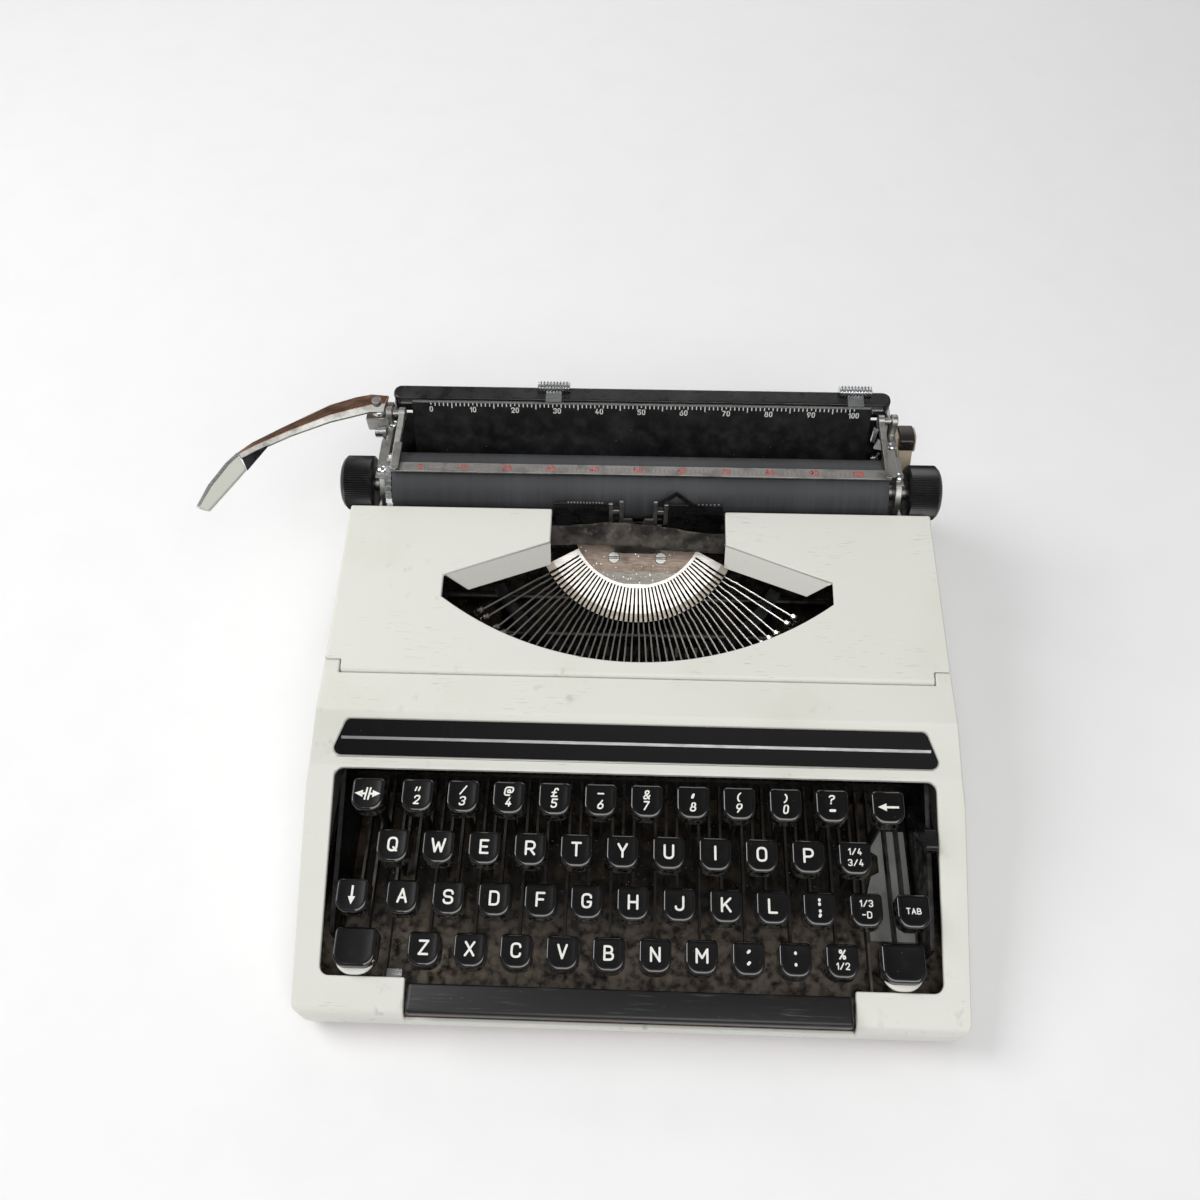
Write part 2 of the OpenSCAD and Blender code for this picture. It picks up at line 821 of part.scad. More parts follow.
module type_segment() {
    foot_y = [seg_y - 38, seg_y - 29];
    foot_top = [for (y = foot_y) segment_z(y) + (seg_low + 1 - seg_top) / cos(seg_tilt)];
    color(chrome) {
        segment_frame() difference() {
            union() {
                ring_sector(seg_in_r, seg_out_r, seg_low, seg_top, fan);
                intersection() {
                    translate([0, 0, seg_low]) cylinder(r = seg_in_r + 1, h = seg_top - seg_low);
                    box(-seg_in_r, seg_in_r, -seg_in_r - 2, -plate_chord, seg_low, seg_top);
                }
            }
            for (i = [0:bar_count - 1]) rotate([0, 0, bar_angle(i)])
                box(
                    -bar_t / 2 - 0.15, bar_t / 2 + 0.15, -seg_out_r - 2, -seg_in_r - 2.5,
                    seg_floor, seg_top + 1
                );
        }
        along_x(-18, 18) polygon([
            [foot_y[0], floor_z], [foot_y[1], floor_z],
            [foot_y[1], foot_top[1]], [foot_y[0], foot_top[0]]
        ]);
    }
}

module segment_screws() {
    color(steel) segment_frame() for (x = [-12, 12])
        translate([x, -20, seg_top]) difference() {
            cylinder(r = 3, h = 1.6);
            box(-4, 4, -0.4, 0.4, 0.9, 2);
        }
}

// A resting typebar with its type slug
module typebar(i) {
    segment_frame() rotate([0, 0, bar_angle(i)]) translate([0, -bar_pivot_r, 0])
        rotate([-bar_rest, 0, 0]) {
            rod_x(bar_boss_r, -bar_t / 2, bar_t / 2, 0, 0);
            box(-bar_t / 2, bar_t / 2, -bar_len, 0, -bar_h / 2, bar_h / 2);
            box(-1.4, 1.4, -bar_len - 1.5, -bar_len + 2, -3, 4.2);
        }
}

module typebars() {
    color(steel) for (i = [0:bar_count - 1]) if (i != split_bar) typebar(i);
}

module typebar_h() { color(steel) typebar(split_bar); }

// Arc that the typebars lie on, with a leg at each end
module type_rest() {
    leg_x = (rest_r0 + 3) * sin(fan - 3);
    leg_y = seg_y - (rest_r0 + 3) * cos(fan - 3) * cos(seg_tilt) - (rest_low + 2) * sin(seg_tilt);
    leg_z = seg_z - (rest_r0 + 3) * cos(fan - 3) * sin(seg_tilt) + (rest_low + 1.5) * cos(seg_tilt);
    color(well_grey) {
        segment_frame() ring_sector(rest_r0, rest_r1, rest_low, rest_top, fan);
        both_sides() box(leg_x - 2, leg_x + 2, leg_y - 2.5, leg_y + 2.5, floor_z, leg_z);
    }
}

module type_guide() {
    color(chrome) difference() {
        along_x(-guide_half, guide_half) polygon([
            [guide_y, segment_z(guide_y)], [card_y, segment_z(card_y)],
            [card_y, guide_top_z], [guide_y, guide_top_z]
        ]);
        along_y(guide_y - 1, card_y + 1) polygon([
            [-1.2, guide_top_z - 6], [1.2, guide_top_z - 6],
            [3.5, guide_top_z + 1], [-3.5, guide_top_z + 1]
        ]);
    }
}

module card_guide() {
    color(black) along_y(card_y, card_y + card_t) {
        polygon(box_points(-card_half, card_low_z, card_half, card_mid_z));
        for (s = [-1, 1])
            polygon(box_points(
                min(s * 9, s * card_half), card_mid_z, max(s * 9, s * card_half), card_top_z
            ));
        difference() {
            polygon([
                [pointer_x - 9, card_top_z], [pointer_x + 9, card_top_z],
                [pointer_x, card_top_z + pointer_h]
            ]);
            polygon([
                [pointer_x - 6.2, card_top_z], [pointer_x + 6.2, card_top_z],
                [pointer_x, card_top_z + pointer_h - 3]
            ]);
        }
    }
}

module ribbon_vibrator() {
    y1 = vib_y + vib_t;
    z0 = platen_z - 29;
    color(chrome) {
        box(-11.5, 11.5, vib_y, y1, z0, z0 + 6);
        both_sides() box(9.2, 11.5, vib_y, y1, z0 + 5, platen_z - 5);
    }
}

// Ribbon: each station has a middle point and a lean; its ends meet the wound packs
function pack_touch() =
    let (
        d = [ribbon_turn_x - spool_x, ribbon_turn_y - spool_y],
        r = pack_r + slide_gap + ribbon_t,
        a = atan2(d.y, d.x) - acos(r / norm(d))
    )
    [spool_x + r * cos(a), spool_y + r * sin(a)];

function blend(a, b, t) = a + (b - a) * t;
function smooth(t) = t * t * (3 - 2 * t);

function ribbon_station(s) =
    let (
        side = s < 0 ? -1 : 1,
        u = abs(s),
        inner = u <= 0.5,
        t = inner ? u * 2 : u * 2 - 1,
        touch = pack_touch(),
        x = inner ? blend(0, ribbon_turn_x, t) : blend(ribbon_turn_x, touch.x, t),
        y = inner ? blend(ribbon_mid_y, ribbon_turn_y, smooth(t)) : blend(ribbon_turn_y, touch.y, t),
        z = inner ? blend(ribbon_mid_z, ribbon_mid_z - 2, smooth(t))
            : blend(ribbon_mid_z - 2, ribbon_spool_z, smooth(min(1, t * 1.6))),
        lean = inner ? blend(28, 12, smooth(t)) : blend(12, 0, smooth(t))
    )
    [side * x, y, z, lean];

module ribbon() {
    stations = [for (i = [-24:24]) ribbon_station(i / 24)];
    ring = [
        for (p = stations)
            let (
                up = [0, sin(p[3]), cos(p[3])] * ribbon_w / 2,
                out = [0, -cos(p[3]), sin(p[3])] * ribbon_t / 2,
                mid = [p.x, p.y, p.z]
            )
            each [mid + up + out, mid + up - out, mid - up - out, mid - up + out]
    ];
    last = 4 * (len(stations) - 1);
    faces = concat(
        [[0, 1, 2], [0, 2, 3], [last + 2, last + 1, last], [last + 3, last + 2, last]],
        [
            for (i = [0:len(stations) - 2], k = [0:3])
                let (a = 4 * i + k, b = 4 * i + (k + 1) % 4)
                each [[a, a + 4, b + 4], [a, b + 4, b]]
        ]
    );
    color(ink) polyhedron(ring, faces, convexity = 4);
}

module spool_cups() {
    color(black) both_sides() {
        rod_z(cup_r, spool_x, spool_y, plate_top_z, plate_top_z + 2);
        box(spool_x, side_x + side_t, spool_y - 6, spool_y + 6, plate_top_z, plate_top_z + 2);
        difference() {
            rod_z(cup_r, spool_x, spool_y, plate_top_z, spool_z - slide_gap);
            rod_z(cup_r - 1.5, spool_x, spool_y, plate_top_z + 1, spool_z + 1);
        }
        rod_z(spindle_r + 3, spool_x, spool_y, plate_top_z + 1, spool_z - slide_gap);
        rod_z(spindle_r, spool_x, spool_y, plate_top_z + 1, spool_z + spool_gap + 3);
    }
}

module spool() {
    z1 = spool_z + flange_z;
    z2 = z1 + spool_gap;
    difference() {
        union() {
            rod_z(spool_r, spool_x, spool_y, spool_z, z1);
            rod_z(pack_r, spool_x, spool_y, z1 - 0.1, z2 + 0.1);
            rod_z(spool_r, spool_x, spool_y, z2, z2 + flange_z);
        }
        rod_z(spindle_r + run_fit, spool_x, spool_y, spool_z - 1, z2 + flange_z + 1);
    }
}

module left_spool() { color(ink) mirror([1, 0, 0]) spool(); }
module right_spool() { color(ink) spool(); }

// Ribbon cover with its skirt, its opening over the type basket and its hinge pins
module cover_slab(depth, inset_x) {
    nose = [for (a = [180:-15:90]) [hinge_y, hinge_z] + nose_r * [cos(a), sin(a)]];
    intersection() {
        along_x(-top_w, top_w) polygon(concat(
            [[cover_rear_y, cover_rear_z - depth], [hinge_y, panel_z + cover_slope * nose_r - depth]],
            [[cover_front_y, hinge_z]], nose,
            [[hinge_y + 6, panel_z + cover_slope * (nose_r + 6)], [cover_rear_y, cover_rear_z]]
        ));
        along_y(cover_front_y - 5, cover_rear_y + 5) polygon(front_outline(inset_x));
    }
}

module opening_outline() {
    far_y = cover_rear_y + 5;
    intersection() {
        polygon([
            [-cut_half, far_y], [-cut_half, cut_y], [-wing_x, wing_rear_y], [-wing_x, -20],
            [wing_x, -20], [wing_x, wing_rear_y], [cut_half, cut_y], [cut_half, far_y]
        ]);
        translate([0, arc_y + arc_r]) circle(r = arc_r, $fn = 256);
    }
}

// Height of the ribbon cover's top at depth y
function cover_z(y) = panel_z + cover_slope * (y - cover_front_y);

// A flange that leans forwards and down from a wing's sloping rear edge
module wing_flange() {
    start = [cut_half, cut_y, cover_z(cut_y) - cover_t / 2];
    end = [wing_x, wing_rear_y, cover_z(wing_rear_y) - cover_t / 2];
    run = end - start;
    lean = flange_lean * flange_h;
    span = norm(run);
    difference() {
        translate(start)
            rotate([0, -atan2(run.z, norm([run.x, run.y])), atan2(run.y, run.x)])
                intersection() {
                    along_x(0, span) polygon([
                        [-lean, -flange_h], [flange_t - lean, -flange_h], [flange_t, 0], [0, 0]
                    ]);
                    along_y(-flange_h, flange_h) polygon([
                        [0, -flange_h], [span - flange_trim * flange_h, -flange_h], [span, 0], [0, 0]
                    ]);
                }
        box(-cut_half, cut_half, cover_front_y, cover_rear_y, 0, cover_rear_z);
    }
}

module ribbon_cover() {
    color(cream) {
        difference() {
            cover_slab(cover_skirt, 0);
            // Hollow under the plate, between the side skirts
            translate([0, 0, -cover_t]) intersection() {
                cover_slab(cover_skirt + 4, wall);
                box(-top_w, top_w, hinge_y + nose_in, cover_rear_y + 5, 0, cover_rear_z + 5);
            }
            linear_extrude(cover_rear_z + 20) opening_outline();
            both_sides() cheek_block(slide_gap);
        }
        both_sides() wing_flange();
        both_sides() rod_x(hinge_r, cheek_in_x - 8, cheek_in_x + 2.5, hinge_y, hinge_z);
    }
}

module ribbon_selector() {
    x1 = side_x - slide_gap;
    x0 = x1 - 2;
    color(black) {
        difference() {
            along_x(x0, x1) union() {
                translate([picker_y, picker_z]) circle(r = 5);
                polygon([
                    [picker_y - 4, picker_z - 3], [picker_y + 2, picker_z + 4.5],
                    [picker_y - 17, picker_z + 24], [picker_y - 23, picker_z + 21]
                ]);
            }
            rod_x(2 + run_fit, x0 - 1, x1 + 1, picker_y, picker_z);
        }
        along_x(x0 - 0.5, x0 + 4.5) polygon(rounded(
            box_points(picker_y - 25, picker_z + 20, picker_y - 15, picker_z + 25.5), [1, 1, 2, 2]
        ));
    }
}

// Rails, with the bracket and axle of the escapement wheel on the front one
module carriage_rails() {
    half = side_x + side_t;
    y = rail_y[0] + rail_d;
    color(steel) {
        for (y0 = rail_y) box(-half, half, y0, y0 + rail_d, rail_z, rail_top_z);
        box(wheel_x - 7, wheel_x + 7, y - 0.5, y + 2, wheel_z - 7, rail_top_z);
        translate([wheel_x, y + 1, wheel_z]) rotate([-90, 0, 0])
            cylinder(r = axle_r, h = rack_y + rack_d + 6 - y);
    }
}

// One tooth as half widths: at the root, at the pitch line and at the tip
tooth_root = 0.52;
tooth_tip = 0.22;

module escapement_wheel() {
    y0 = rack_y - 0.5;
    y1 = rack_y + rack_d + 0.5;
    r0 = rack_r - 1;
    r1 = rack_r + 0.6;
    turn = 360 / rack_teeth;
    teeth = [
        for (i = [0:rack_teeth - 1])
            let (a = 90 + i * turn, w0 = 0.85 / r0, w1 = 0.32 / r1, deg = 180 / PI)
            each [
                r0 * [cos(a - w0 * deg), sin(a - w0 * deg)],
                r1 * [cos(a - w1 * deg), sin(a - w1 * deg)],
                r1 * [cos(a + w1 * deg), sin(a + w1 * deg)],
                r0 * [cos(a + w0 * deg), sin(a + w0 * deg)]
            ]
    ];
    star = [
        for (i = [0:rack_teeth - 1])
            each [
                9.3 * [cos(i * turn), sin(i * turn)],
                7.6 * [cos((i + 0.3) * turn), sin((i + 0.3) * turn)]
            ]
    ];
    color(steel) translate([wheel_x, 0, wheel_z]) difference() {
        union() {
            along_y(y0, y1) polygon(teeth);
            along_y(y1 - 0.1, y1 + 1.5) polygon(star);
        }
        translate([0, y0 - 1, 0]) rotate([-90, 0, 0])
            cylinder(r = axle_r + run_fit, h = y1 - y0 + 5);
    }
}

module spring_drum() {
    color(steel) difference() {
        rod_z(drum_r, drum_x, drum_y, drum_z, drum_z + drum_h);
        rod_z(drum_pin_r + run_fit, drum_x, drum_y, drum_z - 1, drum_z + drum_h + 1);
    }
}

module bell() {
    color(chrome) translate([bell_x, bell_y, floor_z]) {
        difference() {
            cylinder(r = bell_r, h = bell_r + 6);
            translate([0, 0, -1]) cylinder(r = bell_r - 1.2, h = bell_r + 5);
        }
        cylinder(r = 2, h = bell_r + 5.5);
    }
}

// Carriage bed with the rack under it
module carriage_bed() {
    half_root = tooth_root * rack_pitch / 2.6;
    half_tip = tooth_tip * rack_pitch / 2;
    z0 = rack_root_z;
    low = z0 - rack_tooth;
    color(steel) {
        box(-bed_half, bed_half, bed_y0, bed_y1, bed_z0, bed_z1);
        box(-bed_half, bed_half, bed_y0, bed_y0 + 2.7, bed_lip_z, bed_z1);
        box(-bed_half, bed_half, bed_y1 - 2.7, bed_y1, bed_lip_z, bed_z1);
        along_y(rack_y, rack_y + rack_d) polygon(concat(
            [[bed_half, z0], [bed_half, bed_z0 + 1], [-bed_half, bed_z0 + 1], [-bed_half, z0]],
            [
                for (i = [rack_first:rack_last])
                    let (x = wheel_x + (i + 0.5) * rack_pitch)
                    each [
                        [x - half_root, z0], [x - half_tip, low],
                        [x + half_tip, low], [x + half_root, z0]
                    ]
            ]
        ));
    }
}

// End plates
function end_outline() = [
    [feed_y - 4.5, feed_z - 4], [bed_y0, bed_z1], [bar_y0 + 3, bed_z1],
    [bar_y1 - 1, platen_z - 4], [bar_y1 - 1, bar_z0],
    [bar_y0 - slide_gap, bar_z0], [bar_y0 - slide_gap, end_top_z], [platen_y - 6, end_top_z],
    [platen_y - 11, platen_z + 4], [platen_y - 11, platen_z - 8], [feed_y - 4.5, feed_z + 4]
];

module end_plate() {
    difference() {
        union() {
            along_x(end_x, end_x + end_t) union() {
                polygon(end_outline());
                translate([bail_y, bail_z]) circle(r = 3.5);
                polygon(box_points(bail_y - 3.5, end_top_z - 2, bail_y + 3.5, bail_z));
            }
            rod_x(bail_pin_r, bail_x0, end_x + 1, bail_y, bail_z);
        }
        rod_x(shaft_r + run_fit, end_x - 1, end_x + end_t + 1, platen_y, platen_z);
        rod_x(feed_shaft_r + run_fit, end_x - 1, end_x + end_t + 1, feed_y, feed_z);
    }
}

module left_end_plate() {
    x = end_x + end_t;
    color(chrome) {
        mirror([1, 0, 0]) end_plate();
        box(lever_pin.x - 6, -x + 0.5, lever_pin.y - 6, lever_pin.y + 6, lug_z0, lug_z1);
        rod_z(lever_pin_r, lever_pin.x, lever_pin.y, lug_z1 - 1, lug_z1 + 8);
        rod_x(bail_pin_r, -x - 2.5, -x + 1, select_y, select_z);
    }
}

module right_end_plate() {
    x = end_x + end_t;
    color(chrome) {
        end_plate();
        rod_x(2, x - 1, x + 3, release_y, release_z);
    }
}

module paper_table() {
    d = unit(table_top - table_low);
    n = left_of(d) * -table_t;
    z0 = bar_z0 + 1;
    y0 = table_low.x + (z0 - table_low.y) * d.x / d.y;
    color(black) {
        along_x(-table_half, table_half)
            polygon([table_low, table_low + n, table_top + n, table_top]);
        box(-table_half, table_half, y0 + 0.8, bar_y0, z0, z0 + 1.5);
    }
}

module back_bar() {
    color(black) translate([0, 0, bar_z0]) linear_extrude(bar_z1 - bar_z0)
        polygon(rounded(
            box_points(-back_half, bar_y0, back_half, bar_y1), [4, 4, 4, 4]
        ));
}

module margin_rail() {
    color(steel) box(-back_half + 4, back_half - 4, mrail_y, bar_y0, mrail_z0, mrail_z1);
}

// A margin stop rides over the back bar, with ribs for the finger
module margin_stop(x) {
    z0 = bar_z1 + slide_gap;
    y0 = mrail_y - slide_gap - 1.1;
    y1 = bar_y1 + slide_gap + 1.2;
    neck_x = stop_w / 4;
    base_out = 3;
    color(chrome) translate([x - stop_w / 2, 0, 0]) {
        box(0, stop_w, y0, y1, z0, z0 + 3);
        box(neck_x, stop_w - neck_x, y0, y0 + 1.1, mrail_z0, z0 + 1);
        box(-base_out, stop_w + base_out, y0, y0 + 1.1, mrail_z0 - 1, mrail_z0 + 1.5);
        box(0, stop_w, y1 - 1.2, y1, bar_z1 - 3, z0 + 1);
        for (i = [0:5])
            box(1 + i * 2.5, 2.2 + i * 2.5, y0 + 2, y1 - 2, z0 + 2.5, z0 + 3.8);
    }
}

module left_margin_stop() { margin_stop(stop_x[0]); }
module right_margin_stop() { margin_stop(stop_x[1]); }

module paper_release_lever() {
    x0 = end_x + end_t + slide_gap;
    color(beige) {
        difference() {
            along_x(x0, x0 + 2) union() {
                translate([release_y, release_z]) circle(r = 4.5);
                polygon([
                    [release_y - 2, release_z + 4], [release_y + 4, release_z - 2],
                    [release_y + 18, release_z + 8], [release_y + 12, release_z + 14]
                ]);
            }
            rod_x(2 + run_fit, x0 - 1, x0 + 3, release_y, release_z);
        }
        along_x(x0, x0 + 11) polygon(rounded(
            [
                [release_y + 7, release_z + 8], [release_y + 18, release_z + 6],
                [release_y + 21, release_z + 14], [release_y + 12, release_z + 16]
            ],
            [2, 2, 2, 2]
        ));
    }
}

module paper_bail() {
    z0 = bail_low_z;
    y0 = platen_y - bail_w;
    color(chrome) {
        box(-bail_x1, bail_x1, y0, platen_y, z0, z0 + 1);
        both_sides() along_x(bail_x0, bail_x1) difference() {
            union() {
                polygon(box_points(y0, z0, bail_y, z0 + 2.5));
                translate([bail_y, bail_z]) circle(r = 3.2);
            }
            translate([bail_y, bail_z]) circle(r = bail_pin_r + run_fit);
        }
    }
}

// Platen group
module platen_rubber() {
    color(rubber) difference() {
        rod_x(platen_r, -platen_half, platen_half, platen_y, platen_z);
        rod_x(core_r + run_fit, -platen_half - 1, platen_half + 1, platen_y, platen_z);
    }
}

module platen_core() {
    color(steel) {
        rod_x(core_r, -core_half, core_half, platen_y, platen_z);
        rod_x(shaft_r, -shaft_half, shaft_half, platen_y, platen_z);
    }
}

module platen_ratchet() {
    count = 30;
    teeth = [
        for (i = [0:count - 1])
            each [
                ratchet_r * [cos(i * 360 / count), sin(i * 360 / count)],
                (ratchet_r - 2) * [cos((i + 0.35) * 360 / count), sin((i + 0.35) * 360 / count)]
            ]
    ];
    color(chrome) difference() {
        translate([0, platen_y, platen_z]) along_x(-ratchet_x0 - 3, -ratchet_x0) polygon(teeth);
        rod_x(shaft_r + run_fit, -ratchet_x0 - 4, -ratchet_x0 + 1, platen_y, platen_z);
    }
}

// Knob with fine ribs along its rim
module knob() {
    ribs = 72;
    rim = [
        for (i = [0:2 * ribs - 1])
            (i % 2 == 0 ? knob_r : knob_r - 0.5) * [cos(i * 180 / ribs), sin(i * 180 / ribs)]
    ];
    color(black) difference() {
        union() {
            translate([0, platen_y, platen_z]) along_x(knob_in_x + 1, knob_out_x - 1.5) polygon(rim);
            rod_x(knob_r - 1, knob_in_x, knob_out_x, platen_y, platen_z);
        }
        rod_x(shaft_r + run_fit, knob_in_x - 1, shaft_half + 0.3, platen_y, platen_z);
    }
}

module left_knob() { mirror([1, 0, 0]) knob(); }
module right_knob() { knob(); }

// Return lever: hub, long arm and finger pad
module return_lever() {
    z0 = lug_z1 + slide_gap;
    hub = lever_pin;
    outer = [[0, 6], [-6, 6.7], [-31.4, -8.3], [-49.7, -22.8], [-64.6, -32.9], [-79.8, -68.1]];
    inner = [
        [-69.2, -69.2], [-58.5, -43.9], [-50.5, -28.5], [-42, -23.1], [-27.8, -15.8],
        [-12.9, -11.7], [0, -6]
    ];
    arm = [for (p = concat(outer, inner)) hub + p];
    arm_radii = [0, 4, 8, 8, 6, 3, 3, 8, 6, 8, 8, 8, 0];
    color(chrome) difference() {
        union() {
            rod_z(lever_hub_r, hub.x, hub.y, z0, z0 + 6);
            translate([0, 0, z0 + 1]) linear_extrude(4)
                polygon(rounded(arm, arm_radii));
        }
        rod_z(lever_pin_r + run_fit, hub.x, hub.y, z0 - 1, z0 + 8);
    }
}

module line_space_selector() {
    x1 = -end_x - end_t - slide_gap;
    x0 = x1 - 1.5;
    color(steel) difference() {
        union() {
            along_x(x0, x1) union() {
                translate([select_y, select_z]) circle(r = 4);
                polygon([
                    [select_y - 3, select_z + 2], [select_y + 3, select_z - 2],
                    [select_y + 7, select_z + 9], [select_y + 2, select_z + 11]
                ]);
            }
            rod_x(3, x0 - 4, x1, select_y + 4.5, select_z + 9);
        }
        rod_x(bail_pin_r + run_fit, x0 - 1, x1 + 1, select_y, select_z);
    }
}

module feed_rollers() {
    half = end_x + end_t - 0.5;
    color(rubber) {
        rod_x(feed_shaft_r, -half, half, feed_y, feed_z);
        for (i = [-3, -1, 1, 3])
            rod_x(feed_r, (i - 0.65) * platen_half / 4, (i + 0.65) * platen_half / 4, feed_y, feed_z);
    }
}

base_pan();
rubber_feet();
top_shell();
fascia_strip();
side_plates();
pivot_rods();
key_comb();
type_segment();
segment_screws();
typebars();
type_rest();
type_guide();
card_guide();
ribbon();
carriage_rails();
bell();
spool_cups();
ribbon_cover();
ribbon_vibrator();
left_spool();
right_spool();
escapement_wheel();
spring_drum();
ribbon_selector();
carriage_bed();
left_end_plate();
right_end_plate();
paper_table();
back_bar();
margin_rail();
left_margin_stop();
right_margin_stop();
paper_release_lever();
paper_bail();
platen_rubber();
platen_core();
platen_ratchet();
left_knob();
right_knob();
return_lever();
line_space_selector();
feed_rollers();
keytops_row_1();
keytops_row_2();
keytops_row_3();
keytops_row_4();
key_levers_row_1();
key_levers_row_2();
key_levers_row_3();
key_levers_row_4();
space_bar();
space_bar_frame();
shift_keytops();
shift_levers();
shift_lock_key();
margin_release_key();
backspace_key();
tab_key();
key_h();
typebar_h();
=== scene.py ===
"""Looks of a portable typewriter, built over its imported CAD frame.

The CAD nodes give every place and size. This script adds the surfaces that a solid model leaves
plain, such as moulded key tops, legends, scales, cloth and knurling, and gives each piece a finish.
Lengths are written in millimetres and become metres when a mesh is made.
"""

import json
import logging
import math
from dataclasses import dataclass, field, replace
from enum import Enum
from typing import Any, Optional, Sequence

import bmesh
import bpy
import numpy as np
from mathutils import Matrix, Vector


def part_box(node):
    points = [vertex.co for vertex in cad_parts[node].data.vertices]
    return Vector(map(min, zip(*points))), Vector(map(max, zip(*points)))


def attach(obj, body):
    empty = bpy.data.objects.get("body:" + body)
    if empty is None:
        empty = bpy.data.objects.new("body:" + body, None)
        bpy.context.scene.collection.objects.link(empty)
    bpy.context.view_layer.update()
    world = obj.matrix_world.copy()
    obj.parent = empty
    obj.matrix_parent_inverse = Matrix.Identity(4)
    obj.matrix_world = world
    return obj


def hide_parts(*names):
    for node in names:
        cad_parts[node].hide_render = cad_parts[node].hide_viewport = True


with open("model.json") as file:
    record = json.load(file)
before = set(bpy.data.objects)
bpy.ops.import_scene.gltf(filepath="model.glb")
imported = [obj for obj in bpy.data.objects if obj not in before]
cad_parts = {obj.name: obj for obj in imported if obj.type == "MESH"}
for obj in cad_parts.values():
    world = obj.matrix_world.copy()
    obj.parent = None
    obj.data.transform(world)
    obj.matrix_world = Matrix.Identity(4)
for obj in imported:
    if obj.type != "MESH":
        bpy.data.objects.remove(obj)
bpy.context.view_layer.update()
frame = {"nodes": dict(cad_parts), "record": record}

MM = 0.001
LOG = logging.getLogger("typewriter")
Colour = tuple[float, float, float, float]
Row = tuple[float, ...]
Span = tuple[float, float]
Place = tuple[float, float, float]
Outline = tuple[Span, ...]
Tree = bpy.types.ShaderNodeTree
Socket = bpy.types.NodeSocket
BODY_OF = {
    node: body for body, members in frame["record"]["behaviour"]["bodies"].items() for node in members
}
# Centre of the type segment's arcs and the segment's axes: across, up its slope and off its face
SEGMENT_ORIGIN = np.array([0.0, 95.5, 54.75])
SEGMENT_TILT = math.radians(30)
SEGMENT_AXES = np.array([
    [1, 0, 0],
    [0, math.cos(SEGMENT_TILT), math.sin(SEGMENT_TILT)],
    [0, -math.sin(SEGMENT_TILT), math.cos(SEGMENT_TILT)],
])


class Slot(Enum):
    """Material slots of the record."""

    CASING = "casing_paint"
    BASE = "base_paint"
    GLOSS = "black_gloss"
    BLACK = "black_paint"
    DARK = "dark_paint"
    STEEL = "steel"
    CHROME = "chrome"
    RUBBER = "rubber"
    RIBBON = "ink_ribbon"
    BEIGE = "beige_plastic"


def linear(code: str) -> Colour:
    """Turns an sRGB hex colour into linear light.

    Args:
        code: colour as "#RRGGBB".

    Returns:
        Linear red, green, blue and an alpha of 1.
    """
    srgb = [int(code[i : i + 2], 16) / 255 for i in (1, 3, 5)]
    rgb = [c / 12.92 if c <= 0.04045 else ((c + 0.055) / 1.055) ** 2.4 for c in srgb]
    return (rgb[0], rgb[1], rgb[2], 1.0)


def add_node(tree: Tree, kind: str, inputs: Optional[dict] = None, **settings: Any) -> Any:
    """Adds a node with its settings and its links.

    Args:
        tree: node tree of the material.
        kind: Blender's name of the node type.
        inputs: value or source socket for each input, by name or number.
        settings: attributes of the node.

    Returns:
        The new node.
    """
    node = tree.nodes.new(kind)
    for key, value in settings.items():
        setattr(node, key, value)
    for key, value in (inputs or {}).items():
        if isinstance(value, bpy.types.NodeSocket):
            tree.links.new(value, node.inputs[key])
        else:
            node.inputs[key].default_value = value
    return node


@dataclass(frozen=True)
class Cloud:
    """Cloudy patches: noise from low to high, spread from 0 to most; grain in millimetres."""

    grain: float | Place
    low: float
    high: float
    most: float = 1.0
    detail: float = 3.0


@dataclass(frozen=True)
class Grains:
    """Round grains of that radius about scattered points, that spacing apart, in millimetres.

    The cloud called kept keeps some of them; its grain counts in spacings.
    """

    spacing: float
    radius: float
    most: float = 1.0
    soft: float = 0.6
    kept: Cloud = Cloud(3.0, 0.42, 0.6, detail=1.0)


@dataclass(frozen=True)
class Ramp:
    """A value from start to end, spread over low to high."""

    value: Any
    low: float = 0.0
    high: float = 1.0
    start: float = 0.0
    end: float = 1.0


@dataclass(frozen=True)
class Relief:
    """A height of 0 to 1 that stands depth millimetres high."""

    height: Any
    depth: float


